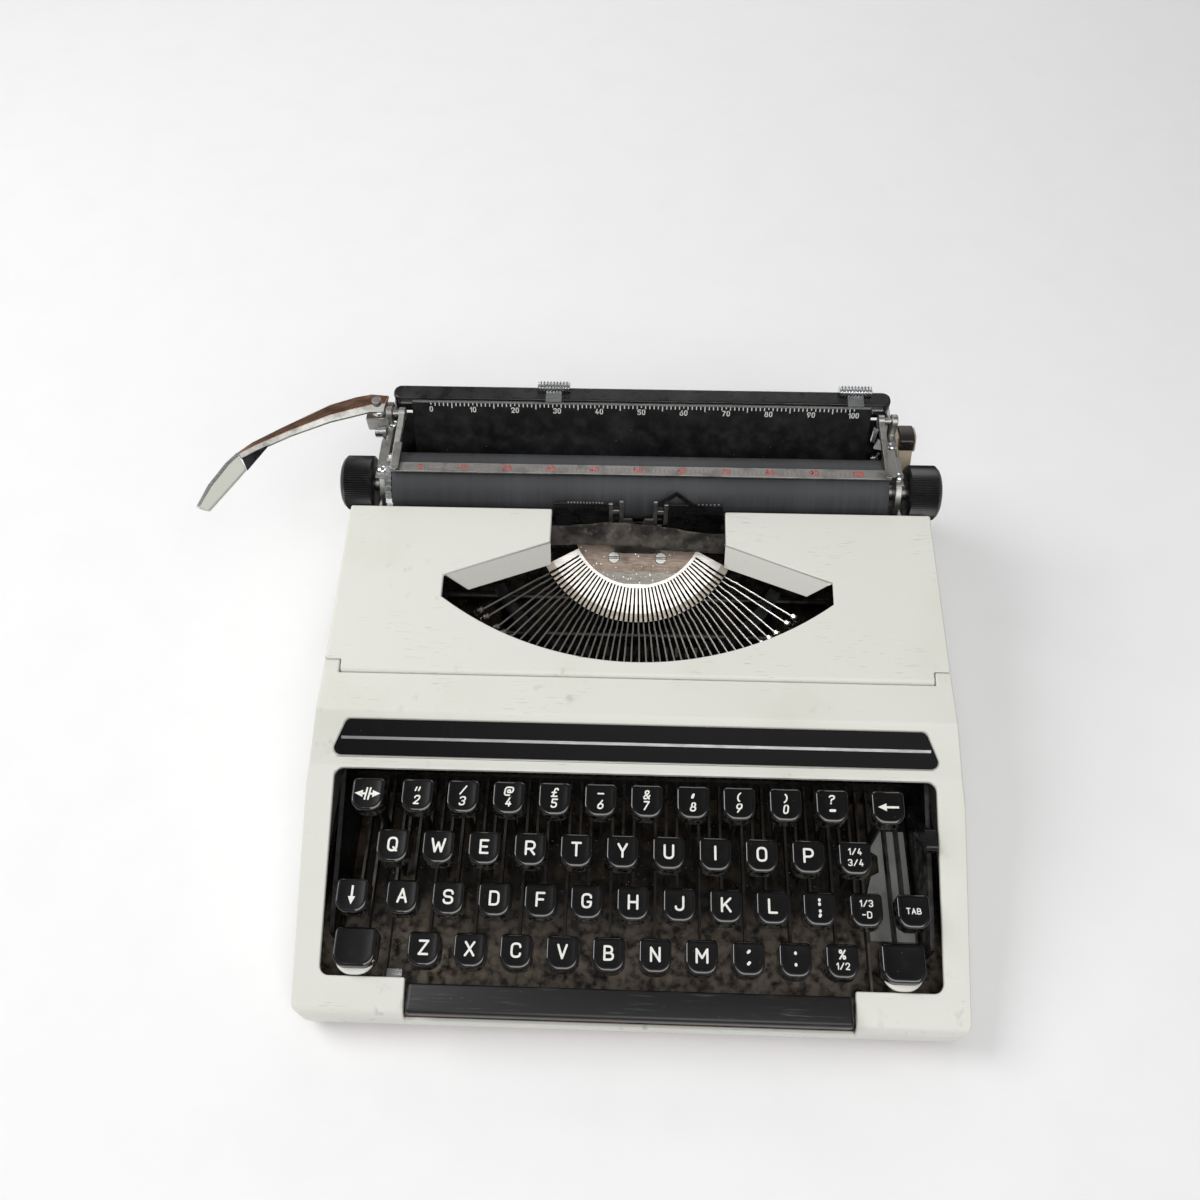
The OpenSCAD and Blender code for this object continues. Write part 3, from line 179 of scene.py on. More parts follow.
@dataclass
class Canvas:
    """A material under way: its tree, its shader and the coordinates that patterns read."""

    tree: Tree
    shader: Any
    coords: Socket

    def stretched(self, grain: float | Sequence[float]) -> Socket:
        """Scales the coordinates so that one unit of pattern is grain millimetres long."""
        scale = [1 / (size * MM) for size in np.broadcast_to(grain, 3).tolist()]
        return add_node(self.tree, "ShaderNodeMapping", {0: self.coords, "Scale": scale}).outputs[0]

    def cloud(self, made: Cloud) -> Socket:
        """Noise of the cloud's grain, smooth-stepped between its levels.

        Args:
            made: the cloud.

        Returns:
            A factor.
        """
        inputs = {"Vector": self.stretched(made.grain), "Scale": 1.0, "Detail": made.detail}
        noise = add_node(self.tree, "ShaderNodeTexNoise", inputs)
        inputs = {0: noise.outputs[0], 1: made.low, 2: made.high, 3: 0.0, 4: made.most}
        spread = add_node(self.tree, "ShaderNodeMapRange", inputs, interpolation_type="SMOOTHSTEP")
        return spread.outputs[0]

    def grains(self, made: Grains) -> Socket:
        """1 within the radius of scattered points, of which a cloud three spacings coarse keeps some.

        Args:
            made: the grains.

        Returns:
            A factor.
        """
        inputs = {"Vector": self.stretched(made.spacing), "Scale": 1.0, "Randomness": 1.0}
        cells = add_node(self.tree, "ShaderNodeTexVoronoi", inputs)
        edge = made.radius / made.spacing
        grain = Ramp(cells.outputs["Distance"], 0.0, made.most, edge, edge * made.soft)
        return self.socket(grain, replace(made.kept, grain=made.spacing * made.kept.grain))

    def socket(self, value: Any, *within: Any) -> Any:
        """Makes the nodes of a pattern, a ramp or a relief, cut by further factors.

        Args:
            value: what is made; sockets and plain values pass as they are.
            within: factors that it is multiplied by.

        Returns:
            The socket or plain value.
        """
        made = value
        if isinstance(value, Cloud):
            made = self.cloud(value)
        elif isinstance(value, Grains):
            made = self.grains(value)
        elif isinstance(value, Ramp):
            source = self.socket(value.value)
            inputs = {0: source, 1: value.start, 2: value.end, 3: value.low, 4: value.high}
            made = add_node(self.tree, "ShaderNodeMapRange", inputs).outputs[0]
        elif isinstance(value, Relief):
            inputs = {"Height": self.socket(value.height), "Distance": value.depth * MM, "Strength": 1.0}
            made = add_node(self.tree, "ShaderNodeBump", inputs).outputs[0]
        for other in within:
            inputs = {0: made, 1: self.socket(other)}
            made = add_node(self.tree, "ShaderNodeMath", inputs, operation="MULTIPLY").outputs[0]
        return made

    def coats(self, base: str | Socket, *coats: tuple[str | Socket, Any]) -> Any:
        """Lays colours over each other; each coat hides what is below it by its factor.

        Args:
            base: hex colour or socket at the bottom.
            coats: hex colour or socket, and factor, of each coat from the bottom up.

        Returns:
            The colour on top.
        """
        below = linear(base) if isinstance(base, str) else base
        for tone, factor in coats:
            colour = linear(tone) if isinstance(tone, str) else tone
            inputs = {0: self.socket(factor), 6: below, 7: colour}
            below = add_node(self.tree, "ShaderNodeMix", inputs, data_type="RGBA").outputs[2]
        return below

    def segment_axis(self, number: int) -> Socket:
        """Distance from the segment's centre along one of its axes, a dot product, in metres.

        Args:
            number: 0 across, 1 up its slope, 2 off its face.

        Returns:
            The distance.
        """
        inputs = {0: self.coords, 1: list(SEGMENT_ORIGIN * MM)}
        moved = add_node(self.tree, "ShaderNodeVectorMath", inputs, operation="SUBTRACT")
        inputs = {0: moved.outputs[0], 1: list(SEGMENT_AXES[number])}
        return add_node(self.tree, "ShaderNodeVectorMath", inputs, operation="DOT_PRODUCT").outputs["Value"]

    def segment_radius(self) -> Socket:
        """Distance from the segment's axis: the root of the summed squares across and up its slope."""
        reach = [self.segment_axis(number) for number in (0, 1)]
        squares = {number: self.socket(value, value) for number, value in enumerate(reach)}
        total = add_node(self.tree, "ShaderNodeMath", squares, operation="ADD").outputs[0]
        return add_node(self.tree, "ShaderNodeMath", {0: total}, operation="SQRT").outputs[0]

    def give(self, **inputs: Any) -> None:
        """Sets or links inputs of the shader, with _ for a blank in their names."""
        for key, value in inputs.items():
            target = self.shader.inputs[key.replace("_", " ")]
            made = self.socket(value)
            if isinstance(made, bpy.types.NodeSocket):
                self.tree.links.new(made, target)
            else:
                target.default_value = made


@dataclass(frozen=True)
class Finish:
    """A surface finish; a subclass paints it."""

    title: str

    def paint(self, canvas: Canvas) -> None:
        """Paints the finish; each subclass has its own."""
        raise NotImplementedError

    def material(self) -> bpy.types.Material:
        """Builds the material once.

        Returns:
            The material of that title.
        """
        found = bpy.data.materials.get(self.title)
        if found is not None:
            return found
        made = bpy.data.materials.new(self.title)
        made.use_nodes = True
        tree = made.node_tree
        tree.nodes.clear()
        shader = add_node(tree, "ShaderNodeBsdfPrincipled")
        add_node(tree, "ShaderNodeOutputMaterial", {"Surface": shader.outputs[0]})
        coords = add_node(tree, "ShaderNodeTexCoord").outputs["Object"]
        self.paint(Canvas(tree, shader, coords))
        return made


@dataclass(frozen=True)
class StoveEnamel(Finish):
    """Stove enamel on pressed steel: satin, a faint orange peel, small grey smudges and scratches."""

    base: str = "#E3E3DB"
    aged: str = "#DAD8CC"
    smudge: str = "#A3A29C"
    scratch: str = "#86847C"
    fleck: str = "#6A6054"
    roughness: float = 0.34
    dulled: float = 0.25
    gloss: float = 0.45
    ageing: Cloud = Cloud(80, 0.45, 0.75, 0.8)
    smudges: Cloud = Cloud((5, 7, 7), 0.58, 0.74, 0.55, 5.0)
    smudge_areas: Cloud = Cloud(45, 0.5, 0.66)
    scratches: Cloud = Cloud((9, 0.35, 0.35), 0.66, 0.74, 0.45, 1.0)
    scratch_areas: Cloud = Cloud(26, 0.52, 0.62)
    flecks: Grains = Grains(15, 0.3, 0.75)
    peel: Relief = Relief(Cloud(1.3, 0.3, 0.7, detail=1.0), 0.006)

    def paint(self, canvas: Canvas) -> None:
        """Yellowed patches, grey smudges, scratches and dark specks over the enamel."""
        smudges = canvas.socket(self.smudges, self.smudge_areas)
        scratches = canvas.socket(self.scratches, self.scratch_areas)
        canvas.give(
            Base_Color=canvas.coats(
                self.base, (self.aged, self.ageing), (self.smudge, smudges), (self.scratch, scratches),
                (self.fleck, self.flecks),
            ),
            Roughness=Ramp(smudges, self.roughness, self.roughness + self.dulled),
            Specular_IOR_Level=self.gloss, Normal=self.peel,
        )


@dataclass(frozen=True)
class PanFinish(Finish):
    """Lower pan: the outer edge keeps a rosy lacquer; the floor inside is painted dark, as shade under the
    keys and levers along with oil, and dust lightens it towards the front, where less shade falls.
    """

    edge: str = "#B98A80"
    edge_worn: str = "#8E6A60"
    # Floor colour inside the walls: painted shade of the deep well, with oil
    floor: str = "#1E1B18"
    oil: str = "#4A3E31"
    dust: str = "#8F8377"
    fleck: str = "#C9C3B8"
    half_x: float = 143.2
    front_y: float = -142.5
    rear_y: float = 139.0
    dust_y: Span = (-84.0, -108.0)
    gloss: float = 0.4
    edge_wear: Cloud = Cloud(12, 0.45, 0.7)
    oiling: Cloud = Cloud(9, 0.45, 0.7, 0.8)
    dusting: Cloud = Cloud(4, 0.3, 0.65, 0.85, 5.0)
    flecks: Grains = Grains(1.9, 0.24, 0.85)
    roughness: Cloud = Cloud(7, 0.2, 0.9, 0.75)

    def paint(self, canvas: Canvas) -> None:
        """Inside means less than half_x from the middle and between the front and rear walls."""
        axes = add_node(canvas.tree, "ShaderNodeSeparateXYZ", {0: canvas.coords}).outputs
        wide = add_node(canvas.tree, "ShaderNodeMath", {0: axes[0]}, operation="ABSOLUTE").outputs[0]
        mask = 1.0
        for value, limit, operation in (
            (wide, self.half_x, "LESS_THAN"), (axes[1], self.front_y, "GREATER_THAN"),
            (axes[1], self.rear_y, "LESS_THAN"),
        ):
            inputs = {0: value, 1: limit * MM}
            inside = add_node(canvas.tree, "ShaderNodeMath", inputs, operation=operation)
            mask = canvas.socket(inside.outputs[0], mask)
        front = Ramp(axes[1], start=self.dust_y[0] * MM, end=self.dust_y[1] * MM)
        # Inside the walls the dark floor is painted shade with oil patches; the dust towards the front
        # lightens it where less shade falls
        grime_and_shade = canvas.coats(
            self.floor, (self.oil, self.oiling), (self.dust, canvas.socket(self.dusting, front)),
            (self.fleck, self.flecks),
        )
        rim = canvas.coats(self.edge, (self.edge_worn, self.edge_wear))
        canvas.give(
            Base_Color=canvas.coats(rim, (grime_and_shade, mask)), Roughness=self.roughness,
            Specular_IOR_Level=self.gloss,
        )


@dataclass(frozen=True)
class MouldedPlastic(Finish):
    """Injection-moulded plastic: glossy skin, hairline handling marks and dust, most of it on the sides."""

    base: str = "#0B0B0C"
    worn: str = "#2A2928"
    dust: str = "#B9B5AB"
    film: str = "#77726A"
    roughness: float = 0.12
    dulled: float = 0.5
    gloss: float = 0.55
    index: float = 1.5
    wear: float = 0.2
    side_dust: float = 0.3
    side: Span = (0.7, 0.1)
    rubbing: Cloud = Cloud((5, 7, 7), 0.52, 0.76, detail=5.0)
    filming: Cloud = Cloud(2.2, 0.42, 0.7, detail=5.0)
    grains: Grains = Grains(2.6, 0.13, 0.75)
    skin: Relief = Relief(Cloud(0.9, 0.3, 0.7, detail=2.0), 0.003)

    def paint(self, canvas: Canvas) -> None:
        """Rubbed patches are lighter and rougher; the sides have a greyer film and the same grains."""
        normal = add_node(canvas.tree, "ShaderNodeNewGeometry").outputs["Normal"]
        upward = add_node(canvas.tree, "ShaderNodeSeparateXYZ", {0: normal}).outputs[2]
        side = Ramp(upward, start=self.side[0], end=self.side[1])
        rubbed = canvas.socket(replace(self.rubbing, most=self.wear))
        film = canvas.socket(replace(self.filming, most=self.side_dust), side)
        canvas.give(
            Base_Color=canvas.coats(
                self.base, (self.worn, rubbed), (self.film, film), (self.dust, self.grains)
            ),
            Roughness=Ramp(rubbed, self.roughness, self.roughness + self.dulled),
            IOR=self.index, Specular_IOR_Level=self.gloss, Normal=self.skin,
        )
        self.polish(canvas, upward)

    def polish(self, canvas: Canvas, upward: Socket) -> None:
        """Leaves the skin as it is; a subclass may treat the faces that look up."""


@dataclass(frozen=True)
class FingeredPlastic(MouldedPlastic):
    """Key plastic: rims and sides stay glossy, the tops are rubbed to a satin by fingers."""

    satin: float = 0.34
    satin_gloss: float = 0.22
    level: Span = (0.945, 0.972)

    def polish(self, canvas: Canvas, upward: Socket) -> None:
        """Faces within about 15 degrees of level count as tops."""
        canvas.give(
            Roughness=Ramp(upward, self.roughness, self.satin, *self.level),
            Specular_IOR_Level=Ramp(upward, self.gloss, self.satin_gloss, *self.level),
        )


@dataclass(frozen=True)
class ScuffedPlastic(Finish):
    """Space bar plastic rubbed dull by thumbs: long pale scuffs along the bar and caught dust."""

    base: str = "#131315"
    scuff: str = "#5C5B59"
    dust: str = "#A7A398"
    index: float = 1.49
    roughness: Span = (0.38, 0.7)
    scuffs: Cloud = Cloud((14, 0.8, 0.8), 0.55, 0.75, 0.6, 4.0)
    scuff_areas: Cloud = Cloud(22, 0.4, 0.65)
    grains: Grains = Grains(3.4, 0.16, 0.7)
    skin: Relief = Relief(Cloud(0.7, 0.3, 0.7, detail=2.0), 0.006)

    def paint(self, canvas: Canvas) -> None:
        """Scuffs are noise stretched along the bar; their strength varies over its length."""
        scuffs = canvas.socket(self.scuffs, self.scuff_areas)
        canvas.give(
            Base_Color=canvas.coats(self.base, (self.scuff, scuffs), (self.dust, self.grains)),
            Roughness=Ramp(scuffs, *self.roughness), IOR=self.index, Normal=self.skin,
        )


@dataclass(frozen=True)
class PlatenRubber(Finish):
    """Ground platen rubber: matt, faint rings left by grinding and struck type, lint on top."""

    base: str = "#3B3C3E"
    pale: str = "#4A4B4D"
    dark: str = "#2C2C2E"
    lint: str = "#A3A19C"
    gloss: float = 0.35
    roughness: Span = (0.5, 0.68)
    depth: float = 0.01
    rings: Cloud = Cloud((2.1, 400, 400), 0.35, 0.68, 0.55, 2.0)
    bands: Cloud = Cloud((38, 400, 400), 0.4, 0.6, 0.45, 1.0)
    linting: Grains = Grains(5.5, 0.17, 0.7)

    def paint(self, canvas: Canvas) -> None:
        """Rings vary along the roller only, so their noise is stretched round it."""
        rings = canvas.socket(self.rings)
        canvas.give(
            Base_Color=canvas.coats(
                self.base, (self.pale, rings), (self.dark, self.bands), (self.lint, self.linting)
            ),
            Roughness=Ramp(rings, *self.roughness), Specular_IOR_Level=self.gloss,
            Normal=Relief(rings, self.depth),
        )


@dataclass(frozen=True)
class DustyEnamel(Finish):
    """Black japanned sheet: semi-matt skin under a scatter of pale dust."""

    base: str = "#151516"
    grey: str = "#2A2A2B"
    dust: str = "#C9C6BD"
    powder: str = "#8D8A83"
    roughness: float = 0.45
    dulled: float = 0.25
    dust_spacing: float = 3.6
    dust_radius: float = 0.17
    dust_share: float = 0.8
    gloss: float = 0.4
    greying: Cloud = Cloud(18, 0.4, 0.75, 0.7)
    powdering: Grains = Grains(1.7, 0.09, 0.5)
    sheen: Cloud = Cloud(6, 0.1, 0.9)
    skin: Relief = Relief(Cloud(0.6, 0.3, 0.7, detail=2.0), 0.008)

    def paint(self, canvas: Canvas) -> None:
        """Broad greying, then two sizes of dust."""
        dusting = Grains(self.dust_spacing, self.dust_radius, self.dust_share)
        canvas.give(
            Base_Color=canvas.coats(
                self.base, (self.grey, self.greying), (self.dust, dusting), (self.powder, self.powdering)
            ),
            Roughness=replace(self.sheen, most=self.roughness + self.dulled),
            Specular_IOR_Level=self.gloss, Normal=self.skin,
        )


@dataclass(frozen=True)
class PlatedMetal(Finish):
    """Plated or polished metal: mirror skin broken by haze, rub marks along one way and spots."""

    base: str = "#D9DBDC"
    haze: str = "#A9A7A2"
    spot: str = "#6B5B4A"
    roughness: float = 0.14
    dulled: float = 0.18
    haze_share: float = 0.5
    spot_share: float = 0.5
    hazing: Cloud = Cloud(8, 0.45, 0.75, detail=4.0)
    spots: Grains = Grains(4.2, 0.25)
    streaks: Cloud = Cloud((6.0, 0.4, 0.4), 0.3, 0.75)
    depth: float = 0.004

    def colour(self, canvas: Canvas) -> Socket:
        """Plating, dulled by haze in patches and tarnished by spots.

        Args:
            canvas: the material under way.

        Returns:
            The colour of the metal.
        """
        haze = replace(self.hazing, most=self.haze_share)
        spots = replace(self.spots, most=self.spot_share)
        return canvas.coats(self.base, (self.haze, haze), (self.spot, spots))

    def paint(self, canvas: Canvas) -> None:
        """The colour, and a grain that streaks the roughness and the skin."""
        streaks = canvas.socket(self.streaks)
        canvas.give(
            Base_Color=self.colour(canvas), Metallic=1.0,
            Roughness=Ramp(streaks, self.roughness, self.roughness + self.dulled),
            Normal=Relief(streaks, self.depth),
        )


@dataclass(frozen=True)
class SegmentSteel(PlatedMetal):
    """Milled segment: bright lands, black in the slots below the face as painted shade with their oil, and
    a browned outer band.
    """

    brown: str = "#8F8474"
    brown_share: float = 0.75
    oil: str = "#080706"
    band: Span = (48.5, 48.8)
    slots: Span = (1.92, 1.7)

    def colour(self, canvas: Canvas) -> Socket:
        """Brown beyond the band's radius, then black below the face: painted shade of the slots, with their
        oil.
        """
        start, end = (reach * MM for reach in self.band)
        browned = Ramp(canvas.segment_radius(), 0.0, self.brown_share, start, end)
        start, end = (height * MM for height in self.slots)
        deep = Ramp(canvas.segment_axis(2), start=start, end=end)
        return canvas.coats(super().colour(canvas), (self.brown, browned), (self.oil, deep))


@dataclass(frozen=True)
class TypebarSteel(PlatedMetal):
    """Typebars: black near their pivots, down by the segment's slots, as painted shade with oil; bare
    bright steel farther out.
    """

    oil: str = "#0B0A09"
    root: Span = (54.0, 52.5)

    def colour(self, canvas: Canvas) -> Socket:
        """Black within the root's radius."""
        start, end = (reach * MM for reach in self.root)
        root = Ramp(canvas.segment_radius(), start=start, end=end)
        return canvas.coats(super().colour(canvas), (self.oil, root))


@dataclass(frozen=True)
class CentrePlateSteel(PlatedMetal):
    """Tinted plate inside the segment: brown film, pale dust, and a greyer band along its lower edge."""

    grey: str = "#77736D"
    dust: str = "#E8E4DC"
    powder: str = "#D8D4CC"
    band: Span = (-26.8, -27.2)
    dusting: Grains = Grains(2.2, 0.4, 0.95)
    powdering: Grains = Grains(1.5, 0.3, 0.9)

    def colour(self, canvas: Canvas) -> Socket:
        """Grey below the band's edge, with grains of dust over all."""
        start, end = (reach * MM for reach in self.band)
        low = canvas.socket(Ramp(canvas.segment_axis(1), start=start, end=end))
        return canvas.coats(
            super().colour(canvas), (self.grey, low), (self.dust, self.dusting),
            (self.powder, canvas.socket(self.powdering, low)),
        )


@dataclass(frozen=True)
class InkedCloth(Finish):
    """Inked nylon tape: plain weave drawn three times coarser than the thread, so that it shows."""

    inked: str = "#2A2725"
    base: str = "#5E5852"
    worn: str = "#857E76"
    thread: float = 0.45
    roughness: float = 0.82
    gloss: float = 0.25
    sheen: float = 0.15
    sheen_roughness: float = 0.5
    weave: Span = (0.5, 1.0)
    depth: float = 0.03
    drying: Cloud = Cloud(9, 0.36, 0.66)
    wearing: Cloud = Cloud(3.4, 0.5, 0.8, 0.6)

    def paint(self, canvas: Canvas) -> None:
        """The UV map holds millimetres across and along the tape; weave is a product of two sines."""
        uv = add_node(canvas.tree, "ShaderNodeUVMap", uv_map="tape").outputs[0]
        axes = add_node(canvas.tree, "ShaderNodeSeparateXYZ", {0: uv}).outputs
        turns = [canvas.socket(axes[number], 2 * math.pi / self.thread) for number in (0, 1)]
        waves = [
            add_node(canvas.tree, "ShaderNodeMath", {0: turn}, operation="SINE").outputs[0]
            for turn in turns
        ]
        weave = Ramp(canvas.socket(*waves), *self.weave)
        canvas.give(
            Base_Color=canvas.coats(self.inked, (self.base, self.drying), (self.worn, self.wearing)),
            Roughness=self.roughness, Specular_IOR_Level=self.gloss, Sheen_Weight=self.sheen,
            Sheen_Roughness=self.sheen_roughness, Normal=Relief(weave, self.depth),
        )


@dataclass(frozen=True)
class PrintedInk(Finish):
    """Printed or filled legend: opaque ink, slightly uneven and rubbed."""

    base: str = "#F3F2EC"
    worn: str = "#C9C7BF"
    rubbing: Cloud = Cloud(1.6, 0.48, 0.72, 0.5)
    roughness: Span = (0.4, 0.6)

    def paint(self, canvas: Canvas) -> None:
        """Rubbed patches are duller than the fresh ink."""
        rubbed = canvas.socket(self.rubbing)
        canvas.give(
            Base_Color=canvas.coats(self.base, (self.worn, rubbed)), Roughness=Ramp(rubbed, *self.roughness)
        )


@dataclass(frozen=True)
class PalePaper(Finish):
    """Seamless paper floor: white, matt, with a faint tooth."""

    base: str = "#FAFAFA"
    tooth: str = "#F6F6F6"
    roughness: float = 0.9
    gloss: float = 0.1
    toothing: Cloud = Cloud(30, 0.3, 0.8, 0.5)

    def paint(self, canvas: Canvas) -> None:
        """A trace of tooth in the white."""
        canvas.give(
            Base_Color=canvas.coats(self.base, (self.tooth, self.toothing)), Roughness=self.roughness,
            Specular_IOR_Level=self.gloss,
        )


CREAM = StoveEnamel("stove_enamel_cream")
PRIMER = StoveEnamel("zinc_primer_grey", base="#B9BBB8", aged="#A3A5A0", smudge="#6E6F6B", roughness=0.4)
# Rosy lacquer on the pan's edge, and a floor inside painted dark as shade of the well
PAN = PanFinish("pan_lacquer_grime_and_painted_shade")
KEY_BLACK = FingeredPlastic("moulded_key_plastic_black", base="#0A0A0B", roughness=0.06, gloss=1.0)
STRIP_BLACK = MouldedPlastic(
    "fascia_lacquer_black", base="#050505", roughness=0.42, gloss=0.12, wear=0.12,
    grains=Grains(9.0, 0.13, 0.75),
)
KNOB_BLACK = MouldedPlastic("knurled_bakelite_black", base="#101011", roughness=0.3, side_dust=0.12)
SPACE_BLACK = ScuffedPlastic("space_bar_plastic_scuffed")
RUBBER = PlatenRubber("ground_platen_rubber")
FOOT_RUBBER = PlatenRubber(
    "moulded_foot_rubber", base="#222223", rings=Cloud((9, 400, 400), 0.35, 0.68, 0.55, 2.0)
)
SHEET_BLACK = DustyEnamel("japanned_sheet_black")
GUIDE_BLACK = DustyEnamel("burnished_guide_black", base="#0D0D0E", roughness=0.25, dust_spacing=6.0)
# Near-black for the side plates of the well and the cheeks at the table's ends: painted shade over steel,
# under pale dust
WELL_SHADE_BLACK = DustyEnamel("frame_painted_shade_dark", base="#0F0D0B", roughness=0.55, dust_spacing=4.0, gloss=0.2)
REST_BLACK = DustyEnamel("felted_rest_black", base="#030303", roughness=0.7, dust_spacing=9.0, gloss=0.05)
CHROME = PlatedMetal("nickel_chrome_plate")
STEEL = PlatedMetal("zinc_plated_steel", base="#A9A8A4", haze="#6E6A63", roughness=0.32, haze_share=0.7)
# Steel for the levers, rods, comb and frames in the well, darker than bare steel: painted shade of the well
# in its colour
DARKENED_LEVER_STEEL = PlatedMetal(
    "lever_steel_painted_shade", base="#55524E", haze="#2A2724", roughness=0.34, haze_share=0.8
)
SEGMENT_STEEL = SegmentSteel(
    "milled_segment_steel", base="#DAD6D0", haze="#B7AEA6", roughness=0.34, spot_share=0.3
)
TYPE_STEEL = TypebarSteel(
    "polished_typebar_steel", base="#CFCDC9", haze="#85827D", roughness=0.32, haze_share=0.6
)
SLUG_STEEL = PlatedMetal(
    "hardened_type_steel", base="#D2D0CC", haze="#5A554F", roughness=0.18, haze_share=0.7
)
PLATE_TINT = CentrePlateSteel(
    "tinted_segment_plate", base="#7A6D63", haze="#4E443C", roughness=0.34, haze_share=0.8
)
# Brown on the return lever's upper face: a painted reflection of a brown thing nearby, on plated metal
BROWN_REFLECTION_PLATE = PlatedMetal(
    "lever_plate_painted_brown_reflection", base="#B58E76", haze="#7C5340", roughness=0.2, haze_share=0.7,
    streaks=Cloud((9.0, 9.0, 0.5), 0.3, 0.75),
)
TAPE = InkedCloth("inked_nylon_tape")
BEIGE = MouldedPlastic(
    "moulded_plastic_beige", base="#B4A78F", worn="#8F846F", dust="#E0DACB", roughness=0.4, side_dust=0.1
)
PAD_PALE = MouldedPlastic(
    "moulded_pad_pale", base="#C9CBC0", worn="#A9AAA0", dust="#8B8880", roughness=0.35, side_dust=0.1
)
CAP_BROWN = MouldedPlastic("moulded_cap_brown", base="#211914", worn="#4A3C32", roughness=0.3)
WHITE_INK = PrintedInk("white_legend_fill")
SCALE_WHITE = PrintedInk("white_scale_print", base="#E9E8E2", worn="#A9A8A2")
RED_INK = PrintedInk("red_scale_print", base="#C4463F", worn="#D2756E")
GREY_INK = PrintedInk("reddish_grey_scale_print", base="#8C6F6D", worn="#A59694")
SILVER_LINE = PlatedMetal("silver_foil_line", base="#8E8F90", roughness=0.3, spot_share=0.2)
FLOOR = PalePaper("seamless_paper_white")


def grid_faces(rows: int, cols: int, round_cols: bool = False, round_rows: bool = False) -> np.ndarray:
    """Quads of a grid of points: each joins a point, the next in its row and the two after them.

    Args:
        rows: number of rows.
        cols: points in a row.
        round_cols: the last point of a row joins the first.
        round_rows: the last row joins the first.

    Returns:
        Point numbers, four to a face.
    """
    i, j = np.meshgrid(
        np.arange(rows if round_rows else rows - 1), np.arange(cols if round_cols else cols - 1),
        indexing="ij",
    )
    i2, j2 = (i + 1) % rows, (j + 1) % cols
    return np.stack([i * cols + j, i * cols + j2, i2 * cols + j2, i2 * cols + j], -1).reshape(-1, 4)


@dataclass
class Shape:
    """Points in millimetres and faces that use them."""

    points: np.ndarray
    faces: list[np.ndarray]

    def copies(self, places: np.ndarray) -> "Shape":
        """The shape repeated at several places.

        Args:
            places: shift of each copy, in millimetres.

        Returns:
            One shape that holds all the copies.
        """
        count = len(self.points)
        points = (places[:, None, :] + self.points[None]).reshape(-1, 3)
        jumps = (np.arange(len(places)) * count)[:, None, None]
        return Shape(points, [(f[None] + jumps).reshape(-1, f.shape[1]) for f in self.faces])

    def mesh(self, name: str, smooth: Optional[float] = 35.0) -> bpy.types.Object:
        """Makes an object at the origin.

        Args:
            name: name of the object.
            smooth: edges sharper than this angle stay sharp; None shades flat.

        Returns:
            The object, linked to the scene.
        """
        data = bpy.data.meshes.new(name)
        faces = [face for block in self.faces for face in block.tolist()]
        data.from_pydata((self.points * MM).tolist(), [], faces)
        if smooth is not None:
            data.shade_smooth()
            data.set_sharp_from_angle(angle=math.radians(smooth))
        data.update()
        made = bpy.data.objects.new(name, data)
        bpy.context.scene.collection.objects.link(made)
        return made


def joined(shapes: Sequence[Shape]) -> Shape:
    """Puts several shapes into one.

    Args:
        shapes: shapes to join.

    Returns:
        One shape with all their points and faces.
    """
    starts = np.cumsum([0] + [len(s.points) for s in shapes[:-1]])
    faces = [f + start for s, start in zip(shapes, starts) for f in s.faces]
    return Shape(np.concatenate([s.points for s in shapes]), faces)


def tubes(rings: np.ndarray) -> Shape:
    """Closed tubes, each a row of rings with a face over its first and its last ring.

    Args:
        rings: points by tube, ring and place round the ring, counter-clockwise seen from the last ring.

    Returns:
        All tubes as one shape.
    """
    count, rows, around, _ = rings.shape
    sides = grid_faces(rows, around, True)
    ends = np.stack([np.arange(around)[::-1], np.arange(around) + (rows - 1) * around])
    jumps = (np.arange(count) * rows * around)[:, None, None]
    faces = [(block[None] + jumps).reshape(-1, block.shape[1]) for block in (sides, ends)]
    return Shape(rings.reshape(-1, 3), faces)


def at_level(flat: np.ndarray, level: float) -> np.ndarray:
    """Points of a plane, given a height."""
    return np.column_stack([flat, np.full(len(flat), level)])


def prism(outline: Sequence[Sequence[float]], low: float, high: float) -> Shape:
    """An outline carried straight along its third axis.

    Args:
        outline: corners of the outline, counter-clockwise.
        low: start along the axis.
        high: end along the axis.

    Returns:
        A closed shape whose axes are those of the outline and then the axis.
    """
    flat = np.array(outline, float)
    return tubes(np.array([at_level(flat, level) for level in (low, high)])[None])


def dress(
    obj: bpy.types.Object, body: str, slot: Slot, finish: Finish, *nodes: str
) -> bpy.types.Object:
    """Gives a new piece its finish and its body, and hides the CAD nodes it stands for.

    Args:
        obj: the piece, already in place.
        body: CAD body it moves with.
        slot: material slot of the record; not used.
        finish: finish of its surface.
        nodes: CAD nodes that it replaces.

    Returns:
        The same piece.
    """
    obj.data.materials.clear()
    obj.data.materials.append(finish.material())
    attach(obj, body)
    if nodes:
        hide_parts(*nodes)
    LOG.info("%s on %s: %s", obj.name, body, finish.title)
    return obj


def paint_node(node: str, finish: Finish) -> None:
    """Gives a CAD node that stays as it is a finish.

    Args:
        node: name of the node.
        finish: finish of its surface.
    """
    mesh = frame["nodes"][node].data
    mesh.materials.clear()
    mesh.materials.append(finish.material())
    LOG.info("%s kept: %s", node, finish.title)


# Bevels: edges turned more than this are sharp, or eased on CAD copies, unless they end at a short one
SHARP_TURN = 32.0
EASED_TURN = 75.0
SHORT_EDGE = 0.1
# Shading stays smooth over edges turned less than this, on small works, turned pieces and key tops
FINE_SMOOTH = 30.0
ROUND_SMOOTH = 40.0
CAP_SMOOTH = 60.0


